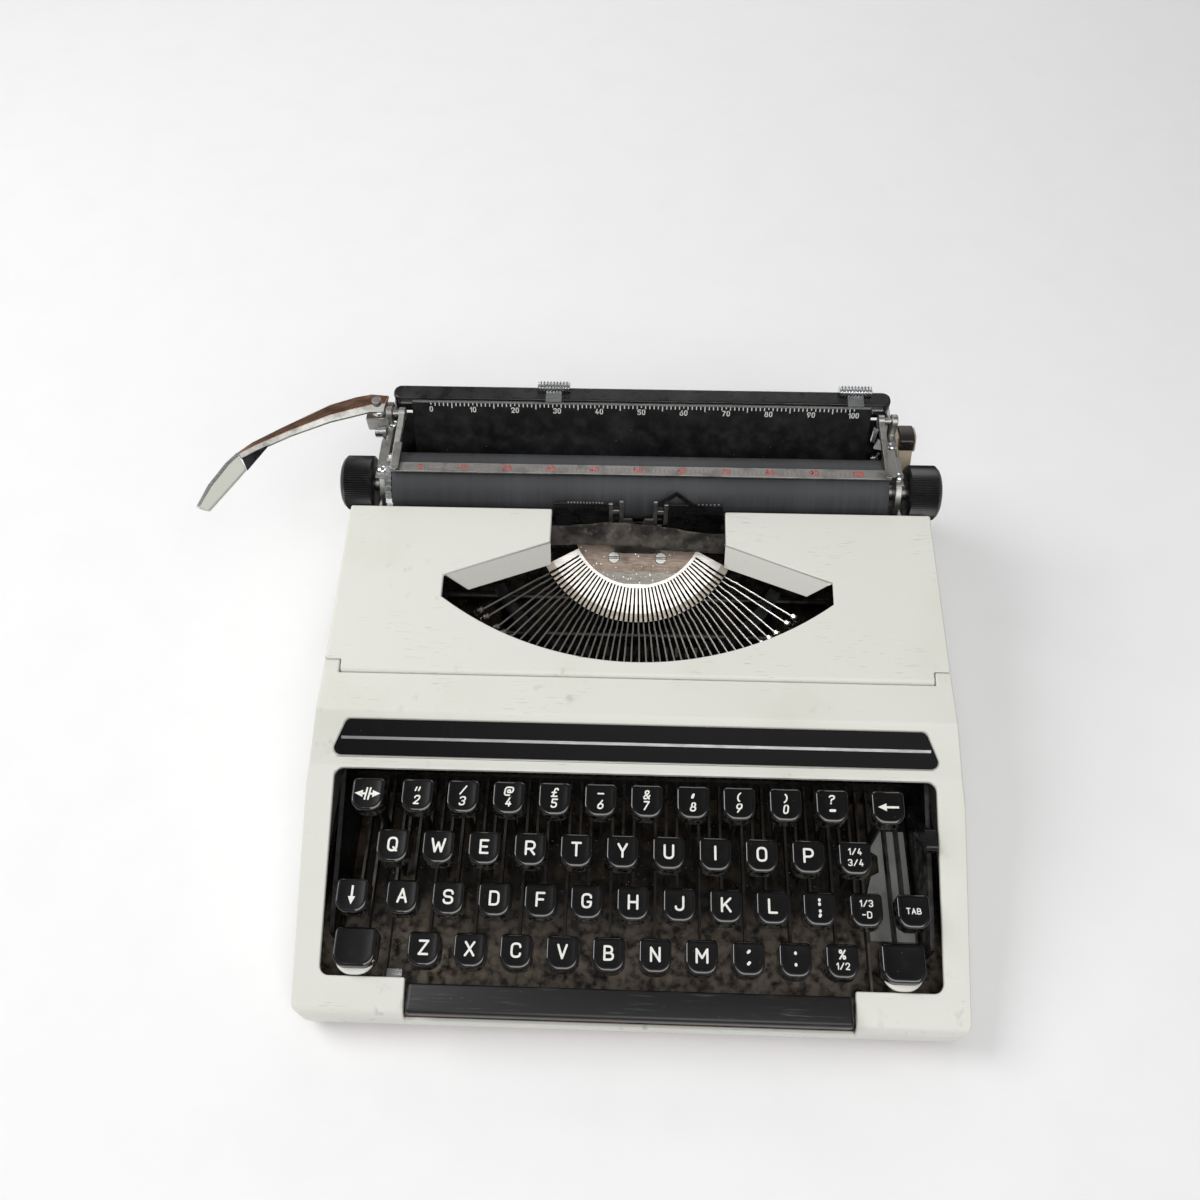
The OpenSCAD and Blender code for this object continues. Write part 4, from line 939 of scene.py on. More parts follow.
def ease(obj: bpy.types.Object, width: float, steps: int = 3) -> bpy.types.Object:
    """Rounds an object's edges with a bevel.

    Args:
        obj: the object.
        width: width of the bevel, in millimetres.
        steps: segments of the bevel.

    Returns:
        The same object.
    """
    bevel = obj.modifiers.new("eased_edges", "BEVEL")
    bevel.width = width * MM
    bevel.segments = steps
    bevel.limit_method = "ANGLE"
    bevel.angle_limit = math.radians(SHARP_TURN)
    bevel.use_clamp_overlap = False
    bevel.harden_normals = True
    return obj


def eased_copy(node: str, width: float, steps: int = 3, below: Optional[float] = None) -> bpy.types.Object:
    """Copies a CAD node, merges its loose triangles and eases its edges with a bevel.

    Only edges near a right angle are eased, and none that ends at a very short one, where a bevel
    would shoot past.

    Args:
        node: name of the node.
        width: width of the bevel, in millimetres.
        steps: segments of the bevel.
        below: keeps only what lies under this height, in millimetres.

    Returns:
        The copy, linked to the scene.
    """
    data = frame["nodes"][node].data.copy()
    work = bmesh.new()
    work.from_mesh(data)
    bmesh.ops.remove_doubles(work, verts=work.verts, dist=2e-6)
    if below is not None:
        cut = bmesh.ops.bisect_plane(
            work, geom=work.verts[:] + work.edges[:] + work.faces[:],
            plane_co=(0, 0, below * MM), plane_no=(0, 0, 1), clear_outer=True,
        )
        edges = [e for e in cut["geom_cut"] if isinstance(e, bmesh.types.BMEdge)]
        bmesh.ops.holes_fill(work, edges=edges)
    bmesh.ops.dissolve_limit(
        work, angle_limit=math.radians(0.6), verts=work.verts, edges=work.edges
    )
    weight = work.edges.layers.float.new("bevel_weight_edge")
    for edge in work.edges:
        tight = any(e.calc_length() < SHORT_EDGE * MM for v in edge.verts for e in v.link_edges)
        edge[weight] = float(not tight and edge.calc_face_angle(0.0) > math.radians(EASED_TURN))
    work.to_mesh(data)
    work.free()
    data.shade_smooth()
    data.set_sharp_from_angle(angle=math.radians(SHARP_TURN))
    made = bpy.data.objects.new(node + "_eased", data)
    bpy.context.scene.collection.objects.link(made)
    if width > 0:
        ease(made, width, steps).modifiers["eased_edges"].limit_method = "WEIGHT"
    return made


def rounded_outline(
    width: float, depth: float, radii: Sequence[float], inset: float = 0.0, steps: int = 7, fill: int = 0
) -> np.ndarray:
    """Closed rounded rectangle, counter-clockwise from its front left corner.

    Each corner is a quarter circle about a point one radius in from both sides. An inset shrinks
    the radii about the same points.

    Args:
        width: size along the first axis.
        depth: size along the second axis.
        radii: corner radii, from the front left round.
        inset: distance moved inwards.
        steps: points on each corner, less one.
        fill: points added along each straight side.

    Returns:
        Points of the outline, two numbers each.
    """
    sign = np.array([[-1, -1], [1, -1], [1, 1], [-1, 1]], float)
    radius = np.array(radii, float)[:, None]
    middle = sign * (np.array([width, depth]) / 2 - radius)
    first = np.radians([180, 270, 0, 90])
    angle = first[:, None] + np.linspace(0, np.pi / 2, steps + 1)[None]
    ring = np.stack([np.cos(angle), np.sin(angle)], -1)
    shrunk = np.maximum(radius - inset, 0.05)[:, :, None]
    corners = middle[:, None, :] + shrunk * ring
    share = np.linspace(0, 1, fill + 2)[None, 1:-1, None]
    sides = corners[:, -1:] * (1 - share) + np.roll(corners, -1, 0)[:, :1] * share
    return np.concatenate([corners, sides], 1).reshape(-1, 2)


def terraced(
    size: Sequence[float], radii: Sequence[float], levels: Sequence[Sequence[float]],
    middle: Sequence[float],
) -> Shape:
    """A rounded outline carried up.

    Args:
        size: width and depth of the outline.
        radii: corner radii, from the front left round.
        levels: inset and height of each ring.
        middle: middle of the outline.

    Returns:
        A closed shape.
    """
    rings = [at_level(rounded_outline(*size, radii, inset) + middle, height) for inset, height in levels]
    return tubes(np.array(rings)[None])


def lathe(profile: np.ndarray, around: int, y: float, z: float, ribs: int = 0) -> Shape:
    """A closed profile carried round an axis along X.

    Each point is (x, radius, rib depth); ribs lower the radius by depth times half of one minus the
    cosine of ribs times the angle. The profile is turned so that the faces look outwards.

    Args:
        profile: points of the closed profile.
        around: steps round the axis.
        y: place of the axis.
        z: height of the axis.
        ribs: ribs round the rim.

    Returns:
        A ring-like closed shape.
    """
    angle = np.linspace(0, 2 * np.pi, around, endpoint=False)[None]
    ahead = np.roll(profile, -1, 0)
    if np.sum(profile[:, 0] * ahead[:, 1] - ahead[:, 0] * profile[:, 1]) > 0:
        profile = profile[::-1]
    x, r, dip = profile[:, 0:1], profile[:, 1:2], profile[:, 2:3]
    radius = r - dip * 0.5 * (1 - np.cos(ribs * angle))
    points = np.stack(
        [x + 0 * angle, y + radius * np.cos(angle), z + radius * np.sin(angle)], -1
    ).reshape(-1, 3)
    return Shape(points, [grid_faces(len(profile), around, True, True)])


def blocks(low: np.ndarray, high: np.ndarray) -> Shape:
    """Plain blocks for fine marks: eight corners each from its lowest and highest corner.

    Args:
        low: lowest corners.
        high: highest corners.

    Returns:
        All blocks as one shape.
    """
    pick = np.array([[i & 1, (i >> 1) & 1, (i >> 2) & 1] for i in range(8)])
    points = (low[:, None] + pick[None] * (high - low)[:, None]).reshape(-1, 3)
    quads = np.array(
        [[0, 2, 3, 1], [4, 5, 7, 6], [0, 1, 5, 4], [2, 6, 7, 3], [0, 4, 6, 2], [1, 3, 7, 5]]
    )
    jumps = (np.arange(len(low)) * 8)[:, None, None]
    return Shape(points, [(quads[None] + jumps).reshape(-1, 4)])


def mapped(shape: Shape, origin: Sequence[float], axes: np.ndarray) -> Shape:
    """Moves a shape to an origin, with its x, y and z along the rows of axes."""
    return Shape(np.array(origin, float) + shape.points @ axes, shape.faces)


# Axes for mapped: an outline in Y and Z carried along X, and a lathe's axis along Z
ALONG_X = np.array([[0, 1, 0], [0, 0, 1], [1, 0, 0]])
ABOUT_Z = np.array([[0, 0, 1], [1, 0, 0], [0, 1, 0]])


def slope_axes(run: float, rise: float) -> np.ndarray:
    """Axes of a slanted face: across along X, up its slope and off it."""
    y, z = np.array([run, rise]) / math.hypot(run, rise)
    return np.array([[1, 0, 0], [0, y, z], [0, -z, y]])


def bar_along_x(section: Sequence[Sequence[float]], low: float, high: float) -> Shape:
    """A section in Y and Z, carried along X from low to high."""
    return mapped(prism(section, low, high), (0, 0, 0), ALONG_X)


def turned_up(profile: np.ndarray, around: int, place: Sequence[float]) -> Shape:
    """A profile of heights and radii, carried round an upright axis at a place."""
    return mapped(lathe(profile, around, 0, 0), place, ABOUT_Z)


# Legend strokes as pairs of hex digits, half a millimetre each; ~ rounds the corners of a stroke
GLYPHS = {
    "A": "004c 4c80 1474", "B": "000c ~0c7c7606 ~06868000", "C": "~898c0c008083",
    "D": "000c ~0c8c8000", "E": "000c 0c7c 0666 0070", "F": "000c 0c7c 0666",
    "G": "~898c0c008085 8555", "H": "000c 808c 0686", "I": "000c", "J": "~7c700003",
    "K": "000c 048c 3780", "L": "000c 0070", "M": "000c 0c54 54ac aca0", "N": "000c 0c80 808c",
    "O": "~4c8c80000c4c", "P": "000c ~0c8c8505", "Q": "~4c8c80000c4c 5380",
    "R": "000c ~0c8c8505 4580", "S": "~898c0c0686800003", "T": "404c 0c8c", "U": "~0c00808c",
    "V": "0c40 408c", "W": "0c30 3069 6990 90cc", "X": "008c 0c80", "Y": "0c45 458c 4540",
    "Z": "0c8c 8c00 0080", "0": "~3c6c60000c3c", "1": "404c 4c19", "2": "~090c7c7700 0070",
    "3": "~0a0c7c7636 ~3676700002", "4": "4c03 0373 5650",
    "5": "7c0c 0c07 ~0777700002", "6": "~377770000737 5c04", "7": "0c7c 7c20",
    "8": "~3c6c66161c3c ~367670000636", "9": "~4c7c75050c4c 7820", '"': "2c17 7c67", "/": "007c",
    "@": "~80000cccc484 ~688884444868", "£": "~8a8c3c3100 0080 0666", "_": "0080",
    "&": "~80181c6c6804005085", "'": "4c38", "(": "~5c2a2250", ")": "~2c5a5220",
    "?": "~0a0c7c773734 3031", "-": "0666", ":": "2223 2829", ";": "2829 2311", ",": "3210",
    ".": "2021", "%": "008c ~1c3c38080c1c ~648480505464",
}
GLYPH_UNIT = 0.5
GLYPH_HEIGHT = 7.2
GLYPH_STROKE = 1.2
GLYPH_GAP = 2.1


def rounded_path(points: np.ndarray, reach: float = 2.0, steps: int = 6) -> np.ndarray:
    """Rounds the inner corners of an open path.

    Each corner becomes a quadratic curve that starts and ends at most reach from it, and at most
    half way along an inner side.

    Args:
        points: corners of the path.
        reach: longest cut along each side.
        steps: steps of each curve.

    Returns:
        Points of the smooth path.
    """
    sides = np.diff(points, axis=0)
    length = np.linalg.norm(sides, axis=1)
    ways = sides / length[:, None]
    free = length * 0.49
    free[[0, -1]] = length[[0, -1]] * 0.98
    before = np.minimum(reach, free[:-1])[:, None, None]
    after = np.minimum(reach, free[1:])[:, None, None]
    corner = points[1:-1, None]
    t = np.linspace(0, 1, steps + 1)[None, :, None]
    first = corner - before * ways[:-1, None]
    last = corner + after * ways[1:, None]
    curves = (1 - t) ** 2 * first + 2 * t * (1 - t) * corner + t**2 * last
    return np.concatenate([points[:1], curves.reshape(-1, 2), points[-1:]])


def stroke(path: np.ndarray, width: float) -> Shape:
    """A pen stroke along a path: a strip of that width with round ends.

    At an end the strip runs on by half its width times the sine of an angle, while its half width
    falls with the cosine.

    Args:
        path: points of the path.
        width: width of the strip.

    Returns:
        Flat faces in the plane z = 0, facing up.
    """
    way = np.gradient(path, axis=0)
    way /= np.linalg.norm(way, axis=1)[:, None]
    turn = np.radians([80, 50, 25])
    run, half = np.sin(turn) * width / 2, np.cos(turn) * width / 2
    middle = np.concatenate([
        path[:1] - run[:, None] * way[:1], path, path[-1:] + run[::-1, None] * way[-1:]
    ])
    way = np.concatenate([np.repeat(way[:1], 3, 0), way, np.repeat(way[-1:], 3, 0)])
    half = np.concatenate([half, np.full(len(path), width / 2), half[::-1]])
    across = np.column_stack([-way[:, 1], way[:, 0]]) * half[:, None]
    flat = np.stack([middle + across, middle - across], 1).reshape(-1, 2)
    points = np.column_stack([flat, np.zeros(len(flat))])
    return Shape(points, [grid_faces(len(middle), 2)])


def lettering(text: str, size: float, weight: float = 1.0, slant: float = 0.0) -> Shape:
    """Text in pen strokes, centred on the origin.

    Args:
        text: characters to set.
        size: height of a capital, in millimetres.
        weight: width of the strokes relative to the plain hand.
        slant: how far a point leans to the right for each millimetre of height.

    Returns:
        Flat faces in the plane z = 0.
    """
    strokes = []
    start = 0.0
    for sign in text:
        paths = []
        for code in GLYPHS[sign].split():
            digits = [int(c, 16) for c in code.lstrip("~")]
            corners = np.array(digits, float).reshape(-1, 2) * GLYPH_UNIT
            paths.append(rounded_path(corners) if code[0] == "~" else corners)
        left = min(p[:, 0].min() for p in paths)
        wide = max(p[:, 0].max() for p in paths) - left
        strokes += [stroke(p + [start - left, 0], GLYPH_STROKE * weight) for p in paths]
        start += wide + GLYPH_GAP
    shape = joined(strokes)
    points = shape.points * size / GLYPH_HEIGHT
    points[:, 0] += slant * points[:, 1]
    middle = (points.min(0) + points.max(0)) / 2
    return Shape(points - middle, shape.faces)


def inked(shape: Shape, name: str, depth: float = 0.06) -> bpy.types.Object:
    """Makes flat marks into a thin closed layer that grows down into what carries it.

    Args:
        shape: marks, facing up.
        name: name of the object.
        depth: thickness of the layer, in millimetres.

    Returns:
        The object.
    """
    made = shape.mesh(name, None)
    layer = made.modifiers.new("ink_layer", "SOLIDIFY")
    layer.thickness = depth * MM
    layer.offset = -1.0
    return made


@dataclass
class Casing:
    """Upper casing, ribbon cover, fascia strip and lower pan."""

    edge: float = 0.8
    strip_edge: float = 0.3
    clip_edge: float = 0.25
    plate_edge: float = 0.3
    fascia: Place = (0.0, -45.0, 57.0)
    fascia_run: float = 20.5
    fascia_rise: float = 14.5
    line_at: float = 12.4
    line_width: float = 1.3
    line_half: float = 131.5
    line_z: Span = (0.1, 0.26)
    clip_x: Span = (-108.0, -99.5)
    clip_y: float = -129.6
    clip_z: float = 20.5
    clip_leg: float = 4.0
    clip_foot: float = 4.5
    clip_sheet: float = 0.8
    plate_z: Span = (7.8, 9.0)
    plate: Outline = (
        (109, -104), (129.5, -104), (129.5, -52), (113, -52), (113, -62), (116, -64), (116, -72),
        (112, -74), (109, -84),
    )

    def build(self) -> None:
        """Eases the pressed shells and dresses the chassis."""
        dress(eased_copy("top_shell", self.edge), "frame", Slot.CASING, CREAM, "top_shell")
        dress(eased_copy("ribbon_cover", self.edge), "cover", Slot.CASING, CREAM, "ribbon_cover")
        dress(eased_copy("fascia_strip", self.strip_edge), "frame", Slot.GLOSS, STRIP_BLACK, "fascia_strip")
        self.silver_line()
        self.front_clip()
        self.floor_plate()
        paint_node("base_pan", PAN)
        paint_node("rubber_feet", FOOT_RUBBER)
        # Side plates near-black: painted shade at the edges of the well
        paint_node("side_plates", WELL_SHADE_BLACK)
        for node in ("pivot_rods", "key_comb"):
            paint_node(node, DARKENED_LEVER_STEEL)

    def silver_line(self) -> None:
        """A foil line across the strip: a low block laid on the slanted face."""
        line = blocks(
            np.array([[-self.line_half, self.line_at - self.line_width / 2, self.line_z[0]]]),
            np.array([[self.line_half, self.line_at + self.line_width / 2, self.line_z[1]]]),
        )
        placed = mapped(line, self.fascia, slope_axes(self.fascia_run, self.fascia_rise))
        dress(placed.mesh("fascia_silver_line", None), "frame", Slot.CHROME, SILVER_LINE)

    def front_clip(self) -> None:
        """Folded clip at the front of the well: an L section carried along X."""
        y, z, sheet = self.clip_y, self.clip_z, self.clip_sheet
        low, tip = z - self.clip_leg, y + self.clip_foot
        section = [(y, low), (y + sheet, low), (y + sheet, z - sheet), (tip, z - sheet), (tip, z), (y, z)]
        clip = bar_along_x(section, *self.clip_x).mesh("well_front_clip")
        dress(ease(clip, self.clip_edge), "frame", Slot.CHROME, CHROME)

    def floor_plate(self) -> None:
        """Steel plate on the pan at the right of the well: an outline with a notch, carried up."""
        plate = prism(self.plate, *self.plate_z).mesh("well_floor_plate")
        dress(ease(plate, self.plate_edge), "frame", Slot.STEEL, PRIMER)


class Mark(Enum):
    """Signs that are drawn as arrows instead of set as text."""

    BACK = "back"
    DOWN = "down"
    MARGIN = "margin"


Legend = tuple[str | Mark, ...]


@dataclass
class KeyPlace:
    """One key: where it stands and what its top says."""

    x: float
    row: int
    legend: Legend


@dataclass
class KeyCap:
    """A moulded key top of one size."""

    width: float = 14.4
    depth: float = 15.0
    height: float = 8.0
    rim: float = 1.7
    rim_drop: float = 1.1
    taper: float = 0.3
    radii: Row = (5.6, 5.6, 2.6, 2.6)
    rise_from: float = 0.8
    rise_short: float = 1.4
    dish: float = 0.6
    dish_in: float = 0.9
    dish_power: float = 3.2
    brow: float = 0.25
    brow_power: int = 4
    skirt: Outline = ((0.4, 0.0), (0.05, 0.4), (0.0, 1.2), (0.25, 4.4))
    shrinks: Row = (0.92, 0.82, 0.7, 0.55, 0.38, 0.2, 0.05)

    def top(self, x: np.ndarray, y: np.ndarray) -> np.ndarray:
        """Height of the top: a plane that rises by 1 mm to the back, dished across.

        The dish is its depth times a power of the share of the half width, less that depth; a brow
        adds a power of the share of the half depth.

        Args:
            x: places across the key.
            y: places along the key.

        Returns:
            Heights above the underside.
        """
        plane = self.height + (y + self.depth / 2 - self.rise_from) / (self.depth - self.rise_short)
        across = np.abs(x) / (self.width / 2 - self.dish_in)
        along = np.abs(y) / (self.depth / 2)
        dished = self.dish * (across**self.dish_power - 1)
        return plane + dished + self.brow * along**self.brow_power

    def ring(self, inset: float, height: float) -> np.ndarray:
        """The key's outline, moved inwards, at one height."""
        return at_level(rounded_outline(self.width, self.depth, self.radii, inset, fill=5), height)

    def shape(self) -> Shape:
        """Rings of a rounded outline up the skirt, over the rim and into the dish.

        Over the elliptic rim the inset is its width times one minus the cosine of a quarter turn, and
        the height lies its drop times one minus the sine under the top. Inside, the outline shrinks.

        Returns:
            A closed shape standing on z = 0.
        """
        rings = [self.ring(inset, height) for inset, height in self.skirt]
        for turn in np.linspace(0, np.pi / 2, 8):
            ring = self.ring(self.taper + self.rim * (1 - np.cos(turn)), 0.0)
            ring[:, 2] = self.top(ring[:, 0], ring[:, 1]) - self.rim_drop * (1 - np.sin(turn))
            rings.append(ring)
        edge = rings[-1]
        for share in self.shrinks:
            ring = edge * [share, share, 0]
            ring[:, 2] = self.top(ring[:, 0], ring[:, 1])
            rings.append(ring)
        return tubes(np.array(rings)[None])


@dataclass
class Keyboard:
    """Key tops, their legends, the levers and the space bar."""

    first_x: float = -104.0
    pitch: float = 20.0
    step: float = 5.0
    row_first: tuple[int, ...] = (2, 0, 1, 3)
    front_y: float = -119.5
    row_dy: float = 19.3
    front_z: float = 34.0
    row_dz: float = 10.2
    cap: KeyCap = field(default_factory=KeyCap)
    wide_cap: KeyCap = field(default_factory=lambda: KeyCap(19.0, 17.0))
    letter: float = 6.6
    weight: float = 0.86
    bold: str = ",.:;'-"
    bold_weight: float = 1.7
    small: float = 4.2
    lean: float = 0.15
    legends: tuple[tuple[Legend, ...], ...] = (
        (('"', "2"), ("/", "3"), ("@", "4"), ("£", "5"), ("_", "6"), ("&", "7"), ("'", "8"),
         ("(", "9"), (")", "0"), ("?", "-")),
        (*((c,) for c in "QWERTYUIOP"), ("1/4", "3/4")),
        (*((c,) for c in "ASDFGHJKL"), (":", ";"), ("1/3", "-D")),
        (*((c,) for c in "ZXCVBNM"), (",", ","), (".", "."), ("%", "1/2")),
    )
    split_row: int = 3
    split_key: int = 5
    singles: tuple[tuple[str, float, int, Legend], ...] = (
        ("margin_release_key", -115.7, 1, (Mark.MARGIN,)),
        ("backspace_key", 110.0, 1, (Mark.BACK,)),
        ("shift_lock_key", -121.0, 3, (Mark.DOWN,)),
        ("tab_key", 121.0, 3, ("TAB",)),
        ("key_h", 1.0, 3, ("H",)),
    )
    shift_x: Span = (-119.0, 117.0)
    plate_narrower: float = 1.4
    plate_forward: float = 2.1
    plate_radii: Row = (7.5, 7.5, 2.0, 2.0)
    plate_levels: Outline = (
        (0.5, 1.6), (0.0, 2.0), (0.0, 3.2), (0.5, 3.6), (6.0, 3.6)
    )
    bar_ends: Outline = ((0.0, 1.2), (0.25, 0.5), (0.7, 0.12), (1.4, 0.0))
    bar_radii: Row = (1.2, 1.2, 1.0, 1.8)
    back_arrow: Span = (9.0, 3.4)
    down_arrow: Span = (8.2, 3.2)
    margin_arrow: Place = (4.7, 3.2, 0.85)
    margin_arrow_x: float = 3.3
    margin_bar: Outline = ((-0.35, -2.5), (0.35, 2.5))
    margin_bar_x: float = 0.75
    margin_bar_width: float = 0.75
    upper_y: float = 2.7
    lower_y: float = -2.1
    letter_y: float = 0.4
    word: float = 2.7
    plain: float = 0.95
    fraction: float = 0.72
    lift: float = 0.04
    lever_gap: float = 0.05

    def centre(self, x: float, row: int) -> np.ndarray:
        """Middle of a key's underside, in millimetres."""
        up = 4 - row
        return np.array([
            x, self.front_y + up * self.row_dy, self.front_z + up * self.row_dz - self.cap.height
        ])

    def arrow(self, length: float, head: float, tail: float = 0.95) -> Shape:
        """A flat arrow to the left about the origin: a bar and a triangle.

        Args:
            length: length over all.
            head: width of the triangle.
            tail: width of the bar.

        Returns:
            Flat faces in the plane z = 0.
        """
        tip, neck = -length / 2, -length / 2 + head * 1.1
        flat = np.array([
            [neck, -tail / 2], [length / 2, -tail / 2], [length / 2, tail / 2], [neck, tail / 2],
            [tip, 0], [neck, -head / 2], [neck, head / 2],
        ])
        return Shape(np.pad(flat, ((0, 0), (0, 1))), [np.array([[0, 1, 2, 3]]), np.array([[4, 5, 6]])])

    def sign(self, mark: Mark) -> Shape:
        """Draws a sign as flat faces about the origin.

        Args:
            mark: which sign.

        Returns:
            The sign.
        """
        if mark is Mark.BACK:
            return self.arrow(*self.back_arrow)
        if mark is Mark.DOWN:
            turned = self.arrow(*self.down_arrow)
            return Shape(turned.points[:, [1, 0, 2]] * [-1, 1, 1], turned.faces)
        left = self.arrow(*self.margin_arrow)
        right = Shape(left.points * [-1, -1, 1], left.faces)
        bar = stroke(np.array(self.margin_bar), self.margin_bar_width)
        aside, apart = np.array([[self.margin_arrow_x, 0, 0]]), np.array([[self.margin_bar_x, 0, 0]])
        return joined([
            left.copies(-aside), right.copies(aside), bar.copies(np.concatenate([-apart, apart]))
        ])

    def legend(self, place: KeyPlace, cap: KeyCap) -> Shape:
        """Sets a key's legend and drapes it on the dish.

        Args:
            place: the key.
            cap: its key top.

        Returns:
            Faces that lie a hair above the key top.
        """
        parts = place.legend
        lean = self.lean if place.row == 1 else 0.0
        if isinstance(parts[0], Mark):
            flat = self.sign(parts[0])
        elif len(parts) == 2:
            upper, lower = (
                lettering(
                    p, self.small * (self.fraction if len(p) > 1 else 1.0),
                    self.bold_weight if p in self.bold else self.plain, lean,
                )
                for p in parts
            )
            flat = joined([
                Shape(upper.points + [0, self.upper_y, 0], upper.faces),
                Shape(lower.points + [0, self.lower_y, 0], lower.faces),
            ])
        elif len(parts[0]) > 1:
            flat = lettering(parts[0], self.word, self.plain)
        else:
            flat = lettering(parts[0], self.letter, self.weight)
            flat.points[:, 1] += self.letter_y
        points = flat.points.copy()
        points[:, 2] = cap.top(points[:, 0], points[:, 1]) + self.lift
        return Shape(points + self.centre(place.x, place.row), flat.faces)

    def row_places(self, row: int) -> list[KeyPlace]:
        """The keys of one row that move together."""
        start = self.first_x + self.step * self.row_first[row - 1]
        return [
            KeyPlace(start + self.pitch * i, row, legend)
            for i, legend in enumerate(self.legends[row - 1])
            if not (row == self.split_row and i == self.split_key)
        ]

    def build(self) -> None:
        """Builds the rows, the single keys, the shift keys and the space bar."""
        shape = self.cap.shape()
        for row in (1, 2, 3, 4):
            places = self.row_places(row)
            spots = np.array([self.centre(p.x, p.row) for p in places])
            node, body = f"keytops_row_{row}", f"row_{row}"
            tops = shape.copies(spots).mesh(f"moulded_{node}", CAP_SMOOTH)
            dress(tops, body, Slot.GLOSS, KEY_BLACK, node)
            text = joined([self.legend(p, self.cap) for p in places])
            dress(inked(text, f"legends_row_{row}"), body, Slot.CHROME, WHITE_INK)
            paint_node(f"key_levers_row_{row}", DARKENED_LEVER_STEEL)
        for node, x, row, legend in self.singles:
            self.single(node, KeyPlace(x, row, legend), shape)
        self.shift_keys()
        self.space_bar()

    def single(self, node: str, place: KeyPlace, shape: Shape) -> None:
        """A key that moves by itself: its lever, its top and its legend.

        Args:
            node: CAD node of the key.
            place: where it stands and what it says.
            shape: the moulded key top.
        """
        body = BODY_OF[node]
        spot = self.centre(place.x, place.row)
        lever = eased_copy(node, 0.0, below=float(spot[2]) + self.lever_gap)
        dress(lever, body, Slot.STEEL, DARKENED_LEVER_STEEL, node)
        dress(shape.copies(spot[None]).mesh(f"moulded_{node}", CAP_SMOOTH), body, Slot.GLOSS, KEY_BLACK)
        text = self.legend(place, self.cap)
        dress(inked(text, f"legend_{node}"), body, Slot.CHROME, WHITE_INK)

    def shift_keys(self) -> None:
        """Two wide key tops, each over a cream plate that shows as a crescent in front."""
        cap = self.wide_cap
        spots = np.array([self.centre(x, 4) for x in self.shift_x])
        tops = cap.shape().copies(spots).mesh("moulded_shift_keytops", CAP_SMOOTH)
        dress(tops, "shift", Slot.GLOSS, KEY_BLACK, "shift_keytops")
        size = (cap.width - self.plate_narrower, cap.depth)
        plate = terraced(size, self.plate_radii, self.plate_levels, (0, -self.plate_forward))
        plates = plate.copies(spots)
        dress(plates.mesh("shift_key_plates", ROUND_SMOOTH), "shift", Slot.CASING, CREAM)
        paint_node("shift_levers", DARKENED_LEVER_STEEL)

    def space_bar(self) -> None:
        """The space bar: a rounded section carried along X, drawn in at its ends."""
        low, high = (np.array(v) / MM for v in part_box("space_bar"))
        size = high - low
        ends = np.array(self.bar_ends)
        stations = np.concatenate([low[0] + ends[:, 0], (high[0] - ends[:, 0])[::-1]])
        insets = np.concatenate([ends[:, 1], ends[::-1, 1]])
        rings = []
        for x, inset in zip(stations, insets):
            flat = rounded_outline(size[1], size[2], self.bar_radii, inset)
            rings.append(np.column_stack([np.full(len(flat), x), flat + (low + high)[1:] / 2]))
        bar = tubes(np.array(rings)[None])
        dress(bar.mesh("moulded_space_bar", ROUND_SMOOTH), "space", Slot.GLOSS, SPACE_BLACK, "space_bar")
        paint_node("space_bar_frame", DARKENED_LEVER_STEEL)
        paint_node("ribbon_selector", GUIDE_BLACK)


